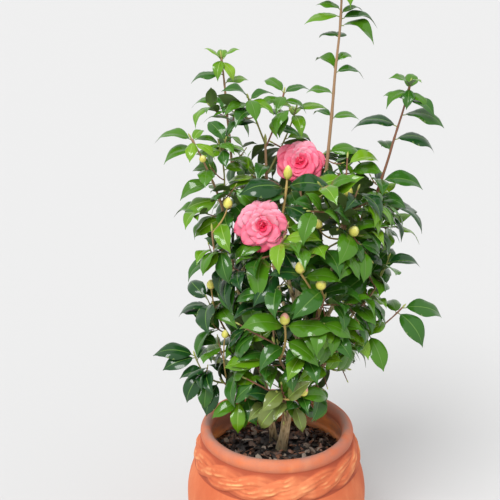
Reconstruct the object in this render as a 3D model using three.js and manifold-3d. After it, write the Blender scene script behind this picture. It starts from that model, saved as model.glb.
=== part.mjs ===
// A potted camellia shrub: a terracotta pot filled with soil, two stems, their boughs,
// and masses of leafy twigs with two blooms and a dozen buds.
// Millimetres, +Z up, the origin at the middle of the pot's flat underside, the front towards -Y.

import * as THREE from 'three';
import Module from 'manifold-3d';

const wasm = await Module();
wasm.setup();

// The pot: a rolled rim over a rope band, a round belly and a narrower foot
const POT_HEIGHT = 320;
const POT_BELLY_RADIUS = 188.5;
const POT_FOOT_RADIUS = 118;
const POT_BELLY_HEIGHT = 165;
const POT_NECK_RADIUS = 155;
const POT_NECK_HEIGHT = 286;
const POT_ROPE_RADIUS = 165;
const POT_ROPE_HEIGHTS = [250, 271];
const POT_ROPE_DEPTH = 4;
const POT_RIM_RADIUS = 159.5;
const POT_MOUTH_RADIUS = 135.5;
const POT_WALL = 19;
const POT_FLOOR = 22;
const POT_SIDES = 30;
const RIM_HALF_HEIGHT = 15;
const RIM_TUCK = 0.5;
const RIM_STEPS = 5;

// The belly's outline from the foot up: share of the belly's radius, and height
const POT_BELLY = [
  [POT_FOOT_RADIUS / POT_BELLY_RADIUS, 0], [0.849, 62], [0.979, 122],
  [1, POT_BELLY_HEIGHT], [0.973, 203], [0.912, 236],
];

// The soil: flat round the stems, lower at the wall
const SOIL_HEIGHT = 249;
const SOIL_EDGE_DROP = 8;
const SOIL_FLAT_RADIUS = 78;

// The clear gap between neighbouring pieces
const SEAT = 0.3;

// A leaf: its length, and the rest as shares of its length, but for its thickness
const LEAF_LENGTH = 82;
const LEAF_WIDTH = 0.54;
const LEAF_WIDEST = 0.46;
const LEAF_ARCH = 0.09;
const LEAF_DIP = 0.05;
const LEAF_THICKNESS = 1.8;
const LEAF_SUNK = 0.8;

// How the rule spreads a leaf: the range of its length and its droop, its roll, how far it
// leans along its twig and outward, how far its face looks outward, and the turns it tries
const LEAF_SIZES = [0.84, 1.14];
const LEAF_DROOPS = [0.1, 0.8];
const LEAF_ROLL = 0.35;
const LEAF_FORWARD = 0.5;
const LEAF_OUTWARD = 0.5;
const FACE_OUTWARD = 0.7;
const LEAF_TURNS = 6;
const LEAF_TURN = 1.1;
const LEAF_SHRINK = 0.05;
const NAMED_TURNS = [0, 0.25, -0.25, 0.5, -0.5];

// Twigs: each is one turn of a spiral of 137.5 degrees on from the last as they climb the
// crown, its tip at a share of the crown's reach
const CROWN_SEED = 7;
const CROWN_HEIGHTS = [372, 900];
const SPIRAL = THREE.MathUtils.degToRad(137.5);
const TWIG_COUNT = 84;
const TWIG_SHARES = [0.52, 0.76];
const TWIG_LONGEST = 150;
const TWIG_SHORTEST = 30;
const TWIG_RADII = [2, 1.4];
const SHOOT_RADII = [1.9, 1.3];
const TWIG_PLACES = [0.15, 0.3, 0.45, 0.6, 0.75, 0.9, 0.98];
const SPACE_PLACES = [0.4, 0.7, 1];
const TWIG_NUDGES = [0, 0.16, -0.16, 0.32, -0.32];
const NUDGE_HEIGHT = 60;

// Leaves on a twig, on the outer part of a mass's stem and on a shoot: how many, and from where
const TWIG_LEAVES = { least: 4, spread: 2, from: 0.3 };
const STEM_LEAVES = { count: 3, from: 0.5 };
const SHOOT_LEAVES = { count: 2, from: 0.2 };
const LAST_LEAF = 0.99;

// Sides and steps of the faceted limbs; the stems' rings crowd towards their flared foot
const TRUNK_SIDES = 8;
const BOUGH_SIDES = 5;
const STEM_SIDES = 4;
const TWIG_SIDES = 3;
const LIMB_STEPS = 5;
const STEM_STEPS = 4;
const SHOOT_STEPS = 3;
const RING_CROWDING = 1.6;
const ROOT_FLARE = 3.5;
const FLARE_FALL = 22;

// Clearances kept by leaves and twigs, and how far a bloom or bud is seen freely
const LIMB_CLEARANCE = 1.2;
const LEAF_CLEARANCE = 2.6;
const TWIG_START = 0.12;
const POT_CLEARANCE = { rim: 6, wall: 12, soil: 30 };
const SIGHT_LENGTH = 90;

// Blooms and buds
const BLOOM_RADIUS = 53;
const BLOOM_DEPTH = 34;
const BLOOM_LOBES = 8;
const BLOOM_TURN = 2.1;
const BLOOM_SIGHT = { from: 0.7, share: 0.8 };
const BUD_LENGTH = 25;
const BUD_RADIUS = 8.5;
const BUD_SIDES = 5;
const BUD_SIGHT = [0, -1, 0.5];

// Rings of a bloom, from the green cup behind it to its eye, and of a bud: a bloom's rows are
// reach, depth and lobes, a bud's are depth and reach, all as shares
const BLOOM_RINGS = [
  [0.1, -0.1, 0], [0.42, 0.02, 0], [0.98, 0.3, 0.07], [0.95, 0.42, 0.07],
  [0.78, 0.66, 0.06], [0.52, 0.9, 0.05], [0.26, 1, 0.04], [0.1, 0.86, 0],
];
const BUD_RINGS = [[-0.08, 0.5], [0.32, 1.05], [0.72, 0.6], [0.92, 0.15]];

// The crown's outline: height, its middle across, and its half width there
const CROWN_OUTLINE = [
  { height: 350, middle: 0, reach: 95 },
  { height: 430, middle: 12, reach: 158 },
  { height: 560, middle: 36, reach: 192 },
  { height: 700, middle: 46, reach: 200 },
  { height: 800, middle: 44, reach: 196 },
  { height: 880, middle: 40, reach: 170 },
  { height: 940, middle: 36, reach: 90 },
];

// Two stems rise from the soil; every bough starts on a stem or on a larger bough.
// "at" is the place on the parent, from 0 at its foot to 1 at its tip.
const GROUND = SOIL_HEIGHT + SEAT;
const LIMBS = [
  { name: 'trunk_front', foot: [11, 15, GROUND], tip: [42, 2, 620],
    bend: [4, -12, 0], radii: [10.2, 6.2] },
  { name: 'trunk_back', foot: [-4, 50, GROUND], tip: [-52, 16, 540],
    bend: [2, -4, 0], radii: [7.4, 5.2] },
  { name: 'bough_leader', parent: 'trunk_front', at: 1, tip: [90, 5, 860],
    bend: [-2, 0, 0], radii: [5.6, 3.6] },
  { name: 'bough_right', parent: 'trunk_front', at: 0.6, tip: [173, -6, 775],
    bend: [16, 6, -22], radii: [5, 3.4] },
  { name: 'bough_centre', parent: 'trunk_front', at: 0.87, tip: [-25, 20, 820],
    bend: [-3, 8, 0], radii: [4.4, 3.2] },
  { name: 'bough_front', parent: 'trunk_front', at: 0.72, tip: [-8, -90, 690],
    bend: [2, -16, -14], radii: [4.2, 3] },
  { name: 'bough_up_right', parent: 'trunk_front', at: 0.94, tip: [112, -48, 715],
    bend: [8, -6, -8], radii: [4, 2.8] },
  { name: 'bough_back', parent: 'trunk_front', at: 0.8, tip: [62, 92, 690],
    bend: [2, 14, -14], radii: [4.2, 2.8] },
  { name: 'bough_bloom', parent: 'bough_leader', at: 0.3, tip: [44, 22, 800],
    bend: [-4, 5, -4], radii: [3.4, 2.6] },
  { name: 'bough_mid_right', parent: 'bough_right', at: 0.3, tip: [150, -30, 585],
    bend: [6, -8, -12], radii: [3.6, 2.6] },
  { name: 'bough_right_back', parent: 'bough_right', at: 0.5, tip: [160, 92, 690],
    bend: [2, 12, -10], radii: [3.4, 2.6] },
  { name: 'bough_left', parent: 'trunk_back', at: 1, tip: [-89, 78, 805],
    bend: [-4, 6, 0], radii: [4.6, 3.2] },
  { name: 'bough_far_left', parent: 'trunk_back', at: 0.8, tip: [-100, -26, 755],
    bend: [-6, -4, -6], radii: [4.2, 3] },
  { name: 'bough_upper_left', parent: 'bough_far_left', at: 0.45, tip: [-112, -58, 675],
    bend: [-4, -8, -8], radii: [3.2, 2.5] },
  { name: 'bough_back_left', parent: 'trunk_back', at: 0.9, tip: [-74, 98, 620],
    bend: [-2, 14, -10], radii: [3.8, 2.7] },
];

// Leaves of the tall shoots, top to bottom: place on the shoot, compass angle (0 is +X, 90 is
// the back), rise above the level, and length.
const LEADER_LEAVES = [
  [0.99, 205, 38, 46], [0.985, 330, 34, 50], [0.97, 90, 30, 48], [0.91, 250, 8, 58], [0.87, 20, 6, 60],
  [0.83, 135, 4, 60], [0.785, 150, 14, 50], [0.77, 22, 14, 44], [0.755, 181, -4, 66], [0.745, 2, -2, 68],
  [0.715, 338, -16, 68], [0.665, 138, 0, 46], [0.655, 75, 8, 44], [0.545, 42, 14, 46], [0.51, 128, 20, 54],
  [0.495, 8, 0, 54], [0.39, 168, 6, 52], [0.275, 140, 8, 44], [0.265, 4, 2, 54], [0.18, 265, -12, 62],
  [0.1, 14, 4, 66],
];
const RIGHT_LEAVES = [
  [0.985, 205, 34, 46], [0.98, 318, 30, 44], [0.965, 70, 36, 46], [0.89, 158, 12, 44], [0.9, 322, -14, 64],
  [0.78, 345, -8, 80], [0.69, 172, 4, 84], [0.59, 0, -4, 78], [0.5, 100, 4, 66], [0.335, 166, 6, 62],
  [0.28, 350, -4, 80], [0.19, 250, -10, 66], [0.13, 345, -6, 62], [0.06, 20, -4, 66],
];
const LEFT_LEAVES = [
  [0.985, 215, 36, 44], [0.98, 325, 34, 46], [0.96, 90, 34, 42], [0.87, 188, -4, 64], [0.8, 28, 10, 52],
  [0.65, 172, 2, 68], [0.56, 320, 8, 50], [0.4, 110, 0, 60], [0.3, 205, -6, 62], [0.14, 350, -4, 62],
];
const FAR_LEFT_LEAVES = [
  [0.98, 178, 6, 68], [0.97, 60, 26, 40], [0.86, 192, -6, 66], [0.82, 20, 8, 42], [0.66, 265, -10, 60],
  [0.52, 190, -20, 70], [0.42, 80, 0, 60], [0.32, 188, -14, 70], [0.2, 280, -20, 64], [0.1, 200, -24, 66],
];
const BESIDE_LEAVES = [[0.98, 190, 20, 48], [0.97, 300, 6, 52], [0.95, 60, 20, 46], [0.6, 30, -4, 50]];
const CENTRE_LEAVES = [[0.5, 250, -8, 58], [0.25, 100, 0, 60], [0.1, 175, -4, 62]];
const PAIR_LEFT_LEAVES = [
  [0.99, 205, 24, 54], [0.97, 290, -30, 56], [0.95, 20, 16, 50], [0.75, 235, -14, 60], [0.45, 160, -4, 56],
];
const PAIR_RIGHT_LEAVES = [
  [0.99, 140, 26, 56], [0.98, 12, 14, 52], [0.93, 255, -24, 50], [0.6, 95, 4, 56], [0.35, 345, -6, 54],
];
const BEHIND_LEAVES = [
  [0.99, 352, 6, 62], [0.97, 200, 22, 44], [0.92, 272, -28, 56], [0.88, 80, 12, 56], [0.6, 10, -8, 60],
];
const LOW_LEFT_LEAVES = [
  [0.99, 178, 10, 84], [0.96, 200, -14, 70], [0.9, 70, 6, 62], [0.62, 210, -48, 70], [0.45, 255, -60, 66],
  [0.3, 120, -10, 62], [0.15, 228, -52, 72],
];
const LOW_RIGHT_LEAVES = [
  [0.99, 2, -10, 86], [0.92, 318, -34, 82], [0.9, 95, 6, 66], [0.75, 215, -14, 62], [0.5, 300, -46, 76],
  [0.36, 80, -4, 70], [0.22, 280, -58, 78], [0.1, 120, -8, 66],
];

// The leaves that hang down to the pot's mouth
const HANGING_LEFT_LEAVES = [[0.95, 205, -25, 64], [0.9, 262, -62, 66], [0.8, 300, -66, 60]];
const HANGING_RIGHT_LEAVES = [[0.95, 300, -60, 56], [0.9, 350, -30, 60]];

// Each mass has one main stem on its bough's tip or on a trunk. The masses of the crown are
// "ruled": growCrown gives them their twigs and leaves. "shoots" are further stems, with
// leaves of their own where they are listed, and some end in a bud of the size given.
const MASSES = [
  { name: 'leader', parent: 'bough_leader', at: 1, tip: [112, -14, 1245],
    bend: [0, 0, 0], radii: [3.3, 1.6], leaves: LEADER_LEAVES },
  { name: 'right_leader', parent: 'bough_right', at: 1, tip: [231, -46, 1036],
    bend: [4, 0, 0], radii: [3.1, 1.6], leaves: RIGHT_LEAVES },
  { name: 'left_leader', parent: 'bough_left', at: 1, tip: [-112, 88, 1066],
    bend: [2, 0, 0], radii: [2.9, 1.5], leaves: LEFT_LEAVES },
  { name: 'far_left', parent: 'bough_far_left', at: 1, tip: [-163, -62, 939],
    bend: [9, 0, 0], radii: [2.7, 1.4], leaves: FAR_LEFT_LEAVES,
    shoots: [
      { at: 0.22, tip: [-113, -16, 918], bend: [6, 0, 0], leaves: BESIDE_LEAVES },
      { at: 0.8, tip: [-141, -78, 902], bud: 0.7 },
    ] },
  { name: 'centre_shoots', parent: 'bough_centre', at: 1, tip: [-27, 20, 912],
    bend: [0, 0, 0], radii: [3, 2.2],
    leaves: CENTRE_LEAVES,
    shoots: [
      { at: 0.97, tip: [-58, -20, 1005], bend: [-2, 0, 2], leaves: PAIR_LEFT_LEAVES },
      { at: 0.9, tip: [7, 45, 1004], bend: [3, 0, -4], leaves: PAIR_RIGHT_LEAVES },
      { at: 0.3, tip: [32, 64, 970], bend: [4, 16, -12], leaves: BEHIND_LEAVES },
    ] },
  { name: 'upper_centre', parent: 'bough_bloom', at: 1, tip: [43, 36, 874],
    bend: [0, 2, 0], radii: [2.6, 2.2], ruled: true, bloom: [-0.09, -0.93, 0.3], bloomSize: 0.93,
    shoots: [
      { at: 0.2, tip: [14, -44, 858], bend: [-8, -6, -6], bud: 1.3 },
    ] },
  { name: 'upper_front', parent: 'bough_front', at: 1, tip: [-33, -72, 786],
    bend: [0, 6, 0], radii: [2.8, 2.3], ruled: true, bloom: [-0.1, -0.99, 0.02], bloomSize: 1 },
  { name: 'upper_right', parent: 'bough_up_right', at: 1, tip: [118, -62, 800],
    bend: [0, -4, 0], radii: [2.7, 1.8], ruled: true,
    shoots: [
      { at: 0.9, tip: [125, -52, 826], bud: 1 },
      { at: 0.35, tip: [71, -92, 778], bend: [-6, 0, -6], bud: 0.9 },
      { at: 0.5, tip: [132, -100, 768], bud: 1.1 },
    ] },
  { name: 'upper_left', parent: 'bough_upper_left', at: 1, tip: [-126, -80, 768],
    bend: [-2, -6, 0], radii: [2.4, 1.7], ruled: true,
    shoots: [
      { at: 0.95, tip: [-98, -78, 812], bend: [4, 0, 0], bud: 1 },
    ] },
  { name: 'upper_back', parent: 'bough_back', at: 1, tip: [62, 125, 850],
    bend: [0, 8, 0], radii: [2.7, 1.8], ruled: true },
  { name: 'right_back', parent: 'bough_right_back', at: 1, tip: [186, 112, 800],
    bend: [2, 6, 0], radii: [2.5, 1.7], ruled: true },
  { name: 'back_left', parent: 'bough_back_left', at: 1, tip: [-86, 130, 770],
    bend: [0, 8, 0], radii: [2.6, 1.8], ruled: true },
  { name: 'mid_right', parent: 'bough_mid_right', at: 1, tip: [196, -40, 665],
    bend: [4, -2, -6], radii: [2.5, 1.7], ruled: true },
  { name: 'mid_left', parent: 'trunk_back', at: 0.62, tip: [-126, -22, 590],
    bend: [-6, 0, -14], radii: [3.2, 1.8], ruled: true,
    shoots: [
      { at: 0.9, tip: [-131, -66, 648], bend: [0, -6, -6], bud: 0.9 },
    ] },
  { name: 'mid_front', parent: 'trunk_front', at: 0.5, tip: [-12, -118, 560],
    bend: [0, -6, -16], radii: [3.4, 1.9], ruled: true,
    shoots: [
      { at: 0.93, tip: [7, -146, 607], bend: [4, 0, -8], bud: 1.15 },
    ] },
  { name: 'mid_front_right', parent: 'trunk_front', at: 0.66, tip: [84, -108, 645],
    bend: [4, -6, -14], radii: [3.2, 1.8], ruled: true,
    shoots: [
      { at: 0.8, tip: [37, -136, 708], bend: [-4, -8, -4], bud: 1.1 },
      { at: 1, tip: [74, -144, 680], bud: 1.1 },
    ] },
  { name: 'mid_back', parent: 'trunk_front', at: 0.55, tip: [70, 120, 590],
    bend: [4, 10, -14], radii: [3.2, 1.8], ruled: true },
  { name: 'low_left', parent: 'trunk_back', at: 0.4, tip: [-108, -20, 424],
    bend: [-4, -2, -10], radii: [3.2, 2], ruled: true,
    shoots: [
      { at: 0.99, tip: [-166, -26, 487], bend: [-6, -6, -12], leaves: LOW_LEFT_LEAVES },
      { at: 0.55, tip: [-78, -52, 398], leaves: HANGING_LEFT_LEAVES },
      { at: 0.8, tip: [-104, -74, 548], bend: [-8, -6, -6], bud: 0.8 },
    ] },
  { name: 'low_front', parent: 'trunk_front', at: 0.34, tip: [-2, -100, 440],
    bend: [0, -4, -12], radii: [3.2, 1.9], ruled: true,
    shoots: [
      { at: 0.9, tip: [44, -122, 448], bend: [0, -4, -6], bud: 1 },
      { at: 0.5, tip: [36, -62, 392], leaves: HANGING_RIGHT_LEAVES },
    ] },
  { name: 'low_right', parent: 'trunk_front', at: 0.43, tip: [106, -58, 512],
    bend: [8, -4, -12], radii: [3.4, 2.2], ruled: true,
    shoots: [
      { at: 0.97, tip: [244, -24, 590], bend: [4, -10, -6], leaves: LOW_RIGHT_LEAVES },
    ] },
  { name: 'low_back', parent: 'trunk_back', at: 0.5, tip: [-34, 122, 480],
    bend: [0, 8, -10], radii: [3, 1.8], ruled: true },
  { name: 'low_back_right', parent: 'trunk_front', at: 0.38, tip: [110, 84, 470],
    bend: [6, 6, -12], radii: [3.2, 1.8], ruled: true },
];

const BARK = { color: 0x8f7a5c, roughness: 0.85, metalness: 0 };
const FINISHES = {
  pot: { color: 0xc46a42, roughness: 0.8, metalness: 0 },
  soil: { color: 0x33261d, roughness: 0.95, metalness: 0 },
  stem: BARK,
  foliage: { color: 0x2a5a1c, roughness: 0.35, metalness: 0 },
};

const vector = (list) => new THREE.Vector3(...list);
const UP = vector([0, 0, 1]);
const ACROSS = vector([1, 0, 0]);
const TO_THE_LIGHT = vector([0, -0.6, 1]);
const STEEP = 0.7;
const sum = (start, direction, amount) => start.clone().addScaledVector(direction, amount);

// The part of a vector that is square to a unit direction, as a unit vector
function squareTo(direction, wish) {
  return sum(wish, direction, -wish.dot(direction)).normalize();
}

// A seeded run of numbers from 0 to 1
function makeDice(seed) {
  let state = (seed * 7919 + 12345) >>> 0;
  return () => {
    state = (Math.imul(state, 1664525) + 1013904223) >>> 0;
    return state / 4294967296;
  };
}

// A number of a range, at a share of the way through it
const within = (range, share) => THREE.MathUtils.lerp(...range, share);

// A limb or twig: a curve whose middle is moved by "bend", and a radius that tapers along it.
// One with a flare has level rings that start at its flat foot.
function makeLimb({ foot, tip, bend = vector([0, 0, 0]), radii, flare = 0 }) {
  const control = foot.clone().add(tip).multiplyScalar(0.5).addScaledVector(bend, 2);
  const curve = new THREE.QuadraticBezierCurve3(foot, control, tip);
  return {
    tip,
    level: flare > 0,
    radius: (t) => within(radii, t) + flare * Math.exp(-t * FLARE_FALL),
    point: (t) => curve.getPoint(t),
    heading: (t) => curve.getTangent(t),
  };
}

// A closed body through rings of points, each ring counterclockwise seen against the way it runs
function ringBody(rings) {
  const sides = rings[0].length;
  const last = (rings.length - 1) * sides;
  const faces = [];
  for (let j = 1; j < sides - 1; j++) {
    faces.push([0, j + 1, j], [last, last + j, last + j + 1]);
  }
  for (let i = 1; i < rings.length; i++) {
    for (let j = 0; j < sides; j++) {
      const k = (j + 1) % sides;
      const low = (i - 1) * sides;
      const high = i * sides;
      faces.push([low + j, low + k, high + k], [low + j, high + k, high + j]);
    }
  }
  return toSolid(rings.flat(), faces);
}

// A manifold solid from points and triangles
function toSolid(points, faces) {
  return new wasm.Manifold(new wasm.Mesh({
    numProp: 3,
    vertProperties: new Float32Array(points.flatMap((point) => [point.x, point.y, point.z])),
    triVerts: new Uint32Array(faces.flat()),
  }));
}

// A ring of points round a centre, square to "facing", its reach given for each angle
function ringOf(centre, facing, towards, sides, reachAt) {
  const first = squareTo(facing, towards);
  const second = facing.clone().cross(first);
  const ring = [];
  for (let j = 0; j < sides; j++) {
    const angle = (j / sides) * 2 * Math.PI;
    const reach = reachAt(angle);
    ring.push(sum(sum(centre, first, reach * Math.cos(angle)), second, reach * Math.sin(angle)));
  }
  return ring;
}

// The tapering tube of a limb; "fatter" grows it all round, for cutting its neighbours clear
function limbSolid(limb, sides, steps, fatter = 0) {
  const overall = limb.point(1).sub(limb.point(0));
  const steep = Math.abs(overall.z) > STEEP * overall.length();
  const rings = [];
  for (let i = 0; i <= steps; i++) {
    const t = (i / steps) ** (limb.level ? RING_CROWDING : 1);
    const heading = limb.level ? UP : limb.heading(t);
    const past = (i === steps ? fatter : 0) - (i === 0 ? fatter : 0);
    const centre = sum(limb.point(t), heading, past);
    rings.push(ringOf(centre, heading, steep ? ACROSS : UP, sides, () => limb.radius(t) + fatter));
  }
  return ringBody(rings);
}

// One leaf's five corners: an arched blade with a crest above its middle, its root in the twig
function makeLeaf(base, along, wish, length, mass) {
  const up = squareTo(along, wish);
  const side = along.clone().cross(up);
  const width = length * LEAF_WIDTH;
  const middle = sum(sum(base, along, length * LEAF_WIDEST), up, length * LEAF_ARCH);
  return {
    mass,
    root: sum(base, along, -LEAF_SUNK),
    left: sum(middle, side, width / 2),
    right: sum(middle, side, -width / 2),
    crest: sum(middle, up, LEAF_THICKNESS),
    tip: sum(sum(base, along, length), up, -length * LEAF_DIP),
    centre: sum(base, along, length / 2),
    reach: length * 0.56,
  };
}

function leafSolid({ root, left, right, crest, tip }) {
  const faces = [[0, 1, 3], [0, 3, 2], [3, 1, 4], [3, 4, 2], [0, 2, 1], [1, 2, 4]];
  return toSolid([root, left, right, crest, tip], faces);
}

// The edges and the upper faces that the clearance tests of a leaf use
const leafEdges = ({ root, left, right, crest, tip }) => [
  [root, left], [left, tip], [tip, right], [right, root],
  [root, crest], [crest, tip], [left, crest], [crest, right]];
const leafFaces = ({ root, left, right, crest, tip }) => [
  [root, left, crest], [root, crest, right], [crest, left, tip], [crest, tip, right]];

// The shortest distance between two straight stretches
function stretchGap([a, b], [c, d]) {
  const first = b.clone().sub(a);
  const second = d.clone().sub(c);
  const between = a.clone().sub(c);
  const firstLength = first.lengthSq();
  const secondLength = second.lengthSq();
  const cross = first.dot(second);
  const onFirst = first.dot(between);
  const onSecond = second.dot(between);
  const spread = firstLength * secondLength - cross * cross;
  const clamp = (value) => Math.min(1, Math.max(0, value));
  let s = spread > 1e-9 ? clamp((cross * onSecond - onFirst * secondLength) / spread) : 0;
  let t = (cross * s + onSecond) / secondLength;
  if (t < 0 || t > 1) {
    t = clamp(t);
    s = clamp((cross * t - onFirst) / firstLength);
  }
  return sum(a, first, s).distanceTo(sum(c, second, t));
}

// Whether a straight stretch, made longer by "more" at both ends, passes through a triangle
function crosses([from, to], [a, b, c], more) {
  const run = to.clone().sub(from);
  const slack = more / run.length();
  const edgeB = b.clone().sub(a);
  const edgeC = c.clone().sub(a);
  const normal = run.clone().cross(edgeC);
  const size = edgeB.dot(normal);
  if (Math.abs(size) < 1e-9) return false;
  const start = from.clone().sub(a);
  const u = start.dot(normal) / size;
  if (u < 0 || u > 1) return false;
  const turned = start.cross(edgeB);
  const v = run.dot(turned) / size;
  if (v < 0 || u + v > 1) return false;
  const t = edgeC.dot(turned) / size;
  return t > -slack && t < 1 + slack;
}

// A limb as straight stretches with a radius, for the clearance tests
function stretches(limb, mass, count = 6) {
  const list = [];
  for (let i = 0; i < count; i++) {
    const line = [limb.point(i / count), limb.point((i + 1) / count)];
    list.push({ line, radius: limb.radius(i / count), mass, limb });
  }
  return list;
}

const tooFar = (leaf, { line, radius }) => {
  const half = line[0].distanceTo(line[1]) / 2;
  const middle = line[0].clone().lerp(line[1], 0.5);
  return leaf.centre.distanceTo(middle) > leaf.reach + half + radius + LEAF_CLEARANCE;
};

function leafHitsStretch(leaf, stretch) {
  if (tooFar(leaf, stretch)) return false;
  const clearance = stretch.radius + LIMB_CLEARANCE;
  return leafFaces(leaf).some((face) => crosses(stretch.line, face, clearance))
    || leafEdges(leaf).some((edge) => stretchGap(edge, stretch.line) < clearance);
}

function cutsFace(leaf, other, apart) {
  return leafEdges(leaf).some((edge) => leafFaces(other).some((face) => crosses(edge, face, apart)));
}

function leavesMeet(leaf, other) {
  if (leaf.centre.distanceTo(other.centre) > leaf.reach + other.reach) return false;
  const apart = leaf.mass === other.mass ? 0 : LEAF_CLEARANCE;
  if (cutsFace(leaf, other, apart) || cutsFace(other, leaf, apart)) return true;
  if (!apart) return false;
  return leafEdges(leaf).some((edge) => leafEdges(other).some((rim) => stretchGap(edge, rim) < apart));
}

// How far the crown reaches at a height, as a share: 1 is its outline
function crownShare(point) {
  if (point.z < CROWN_OUTLINE[0].height || point.z > CROWN_OUTLINE.at(-1).height) return 2;
  const { middle, reach } = outlineAt(point.z);
  return Math.hypot(point.x - middle, point.y) / reach;
}

function outlineAt(height) {
  const next = Math.max(1, CROWN_OUTLINE.findIndex((ring) => ring.height >= height));
  const [low, high] = [CROWN_OUTLINE[next - 1], CROWN_OUTLINE[next]];
  const t = (height - low.height) / (high.height - low.height);
  return {
    middle: THREE.MathUtils.lerp(low.middle, high.middle, t),
    reach: THREE.MathUtils.lerp(low.reach, high.reach, t),
  };
}

// Whether a point is clear of the pot: above its rim, or inside its mouth and above the soil
function clearOfPot(point) {
  const aside = Math.hypot(point.x, point.y);
  const inMouth = aside < POT_MOUTH_RADIUS - POT_CLEARANCE.wall && point.z > SOIL_HEIGHT + POT_CLEARANCE.soil;
  return inMouth || point.z > POT_HEIGHT + POT_CLEARANCE.rim;
}

// A mass's own space is what lies nearer to its stem than to any other ruled mass's stem
function nearestMass(point) {
  const away = (mass) => Math.min(...SPACE_PLACES.map((place) => mass.stem.point(place).distanceTo(point)));
  return RULED_MASSES.reduce((best, mass) => (away(mass) < away(best) ? mass : best));
}

// Grown things, in the order they are found: what a later leaf has to stay clear of
const grown = { stretches: [], leaves: [], twigs: [], buds: [], blooms: [] };

// Whether a leaf is clear of the pot, the limbs and the other leaves and, where it follows the
// rule, inside the crown and in its own mass's space
function leafFits(leaf, carrier, ruled) {
  const corners = [leaf.left, leaf.right, leaf.crest, leaf.tip];
  if (!corners.every(clearOfPot)) return false;
  if (ruled && !corners.every((point) => crownShare(point) < 1)) return false;
  if (ruled && nearestMass(leaf.centre) !== leaf.mass) return false;
  const others = grown.stretches.filter((stretch) => stretch.limb !== carrier);
  if (others.some((stretch) => leafHitsStretch(leaf, stretch))) return false;
  return !grown.leaves.some((other) => leavesMeet(leaf, other));
}

// A leaf of a named compass angle, rise and length, turned a little where it does not fit
function placeLeaf(mass, carrier, [place, compass, rise, length]) {
  const angle = THREE.MathUtils.degToRad(compass);
  const lift = THREE.MathUtils.degToRad(rise);
  for (const turn of NAMED_TURNS) {
    const flat = vector([Math.cos(angle + turn), Math.sin(angle + turn), 0]);
    const along = flat.multiplyScalar(Math.cos(lift)).addScaledVector(UP, Math.sin(lift));
    const leaf = makeLeaf(carrier.point(place), along, TO_THE_LIGHT, length, mass);
    if (leafFits(leaf, carrier, false)) {
      grown.leaves.push(leaf);
      return;
    }
  }
}

// Leaves in a spiral along a twig by the rule; each that does not fit is turned, then skipped
function growLeaves(mass, twig, count, first, dice) {
  let spin = dice() * 2 * Math.PI;
  for (let i = 0; i < count; i++) {
    const place = within([first, LAST_LEAF], (i + 0.5) / count);
    const length = LEAF_LENGTH * within(LEAF_SIZES, dice());
    const droop = within(LEAF_DROOPS, dice());
    const roll = within([-LEAF_ROLL, LEAF_ROLL], dice());
    spin += SPIRAL;
    for (let turn = 0; turn < LEAF_TURNS; turn++) {
      const turned = { spin: spin + turn * LEAF_TURN, length: length * (1 - LEAF_SHRINK * turn) };
      const leaf = ruledLeaf(mass, twig, place, { ...turned, droop, roll });
      if (leafFits(leaf, twig, true)) {
        grown.leaves.push(leaf);
        break;
      }
    }
  }
}

function ruledLeaf(mass, twig, place, { spin, length, droop, roll }) {
  const base = twig.point(place);
  const heading = twig.heading(place);
  const outward = outwardFrom(base);
  const first = squareTo(heading, Math.abs(heading.z) > STEEP ? outward : UP);
  const second = heading.clone().cross(first);
  const aside = sum(first.multiplyScalar(Math.cos(spin)), second, Math.sin(spin));
  const leaning = sum(sum(aside, heading, LEAF_FORWARD), outward, LEAF_OUTWARD);
  const along = sum(leaning, UP, -droop).normalize();
  const side = along.clone().cross(UP);
  const wish = sum(sum(UP, outward, FACE_OUTWARD), side, roll);
  return makeLeaf(base, along, wish, length, mass);
}

// The level direction away from the crown's middle
function outwardFrom(point) {
  return vector([point.x - outlineAt(point.z).middle, point.y, 0]).normalize();
}

// Twigs reach for places spread evenly over the crown by a spiral that climbs it
function growCrown() {
  const dice = makeDice(CROWN_SEED);
  for (let i = 0; i < TWIG_COUNT; i++) {
    const height = within(CROWN_HEIGHTS, (i + 0.5) / TWIG_COUNT);
    const share = within(TWIG_SHARES, dice());
    const count = TWIG_LEAVES.least + Math.floor(TWIG_LEAVES.spread * dice());
    const found = findTwig(height, i * SPIRAL, share);
    if (!found) continue;
    const { twig, mass } = found;
    grown.twigs.push({ twig, mass, steps: 1 });
    grown.stretches.push(...stretches(twig, mass, 2));
    growLeaves(mass, twig, count, TWIG_LEAVES.from, dice);
  }
  for (const mass of RULED_MASSES) {
    growLeaves(mass, mass.stem, STEM_LEAVES.count, STEM_LEAVES.from, dice);
    mass.shoots.forEach((shoot, index) => {
      if (!mass.row.shoots[index].leaves) {
        growLeaves(mass, shoot, SHOOT_LEAVES.count, SHOOT_LEAVES.from, dice);
      }
    });
  }
}

// The first twig that fits, from the stem nearest to the wished place or to places beside it
function findTwig(height, angle, share) {
  for (const nudge of TWIG_NUDGES) {
    const level = height + nudge * NUDGE_HEIGHT;
    const { middle, reach } = outlineAt(level);
    const aside = reach * share;
    const turned = angle + nudge;
    const tip = vector([middle + aside * Math.cos(turned), aside * Math.sin(turned), level]);
    const mass = nearestMass(tip);
    const feet = TWIG_PLACES.map((place) => mass.stem.point(place))
      .filter((foot) => foot.distanceTo(tip) > TWIG_SHORTEST && foot.distanceTo(tip) < TWIG_LONGEST)
      .sort((one, two) => one.distanceTo(tip) - two.distanceTo(tip));
    for (const foot of feet) {
      const twig = makeLimb({ foot, tip, radii: TWIG_RADII });
      if (twigFits(twig, mass)) return { twig, mass };
    }
  }
  return null;
}

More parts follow.
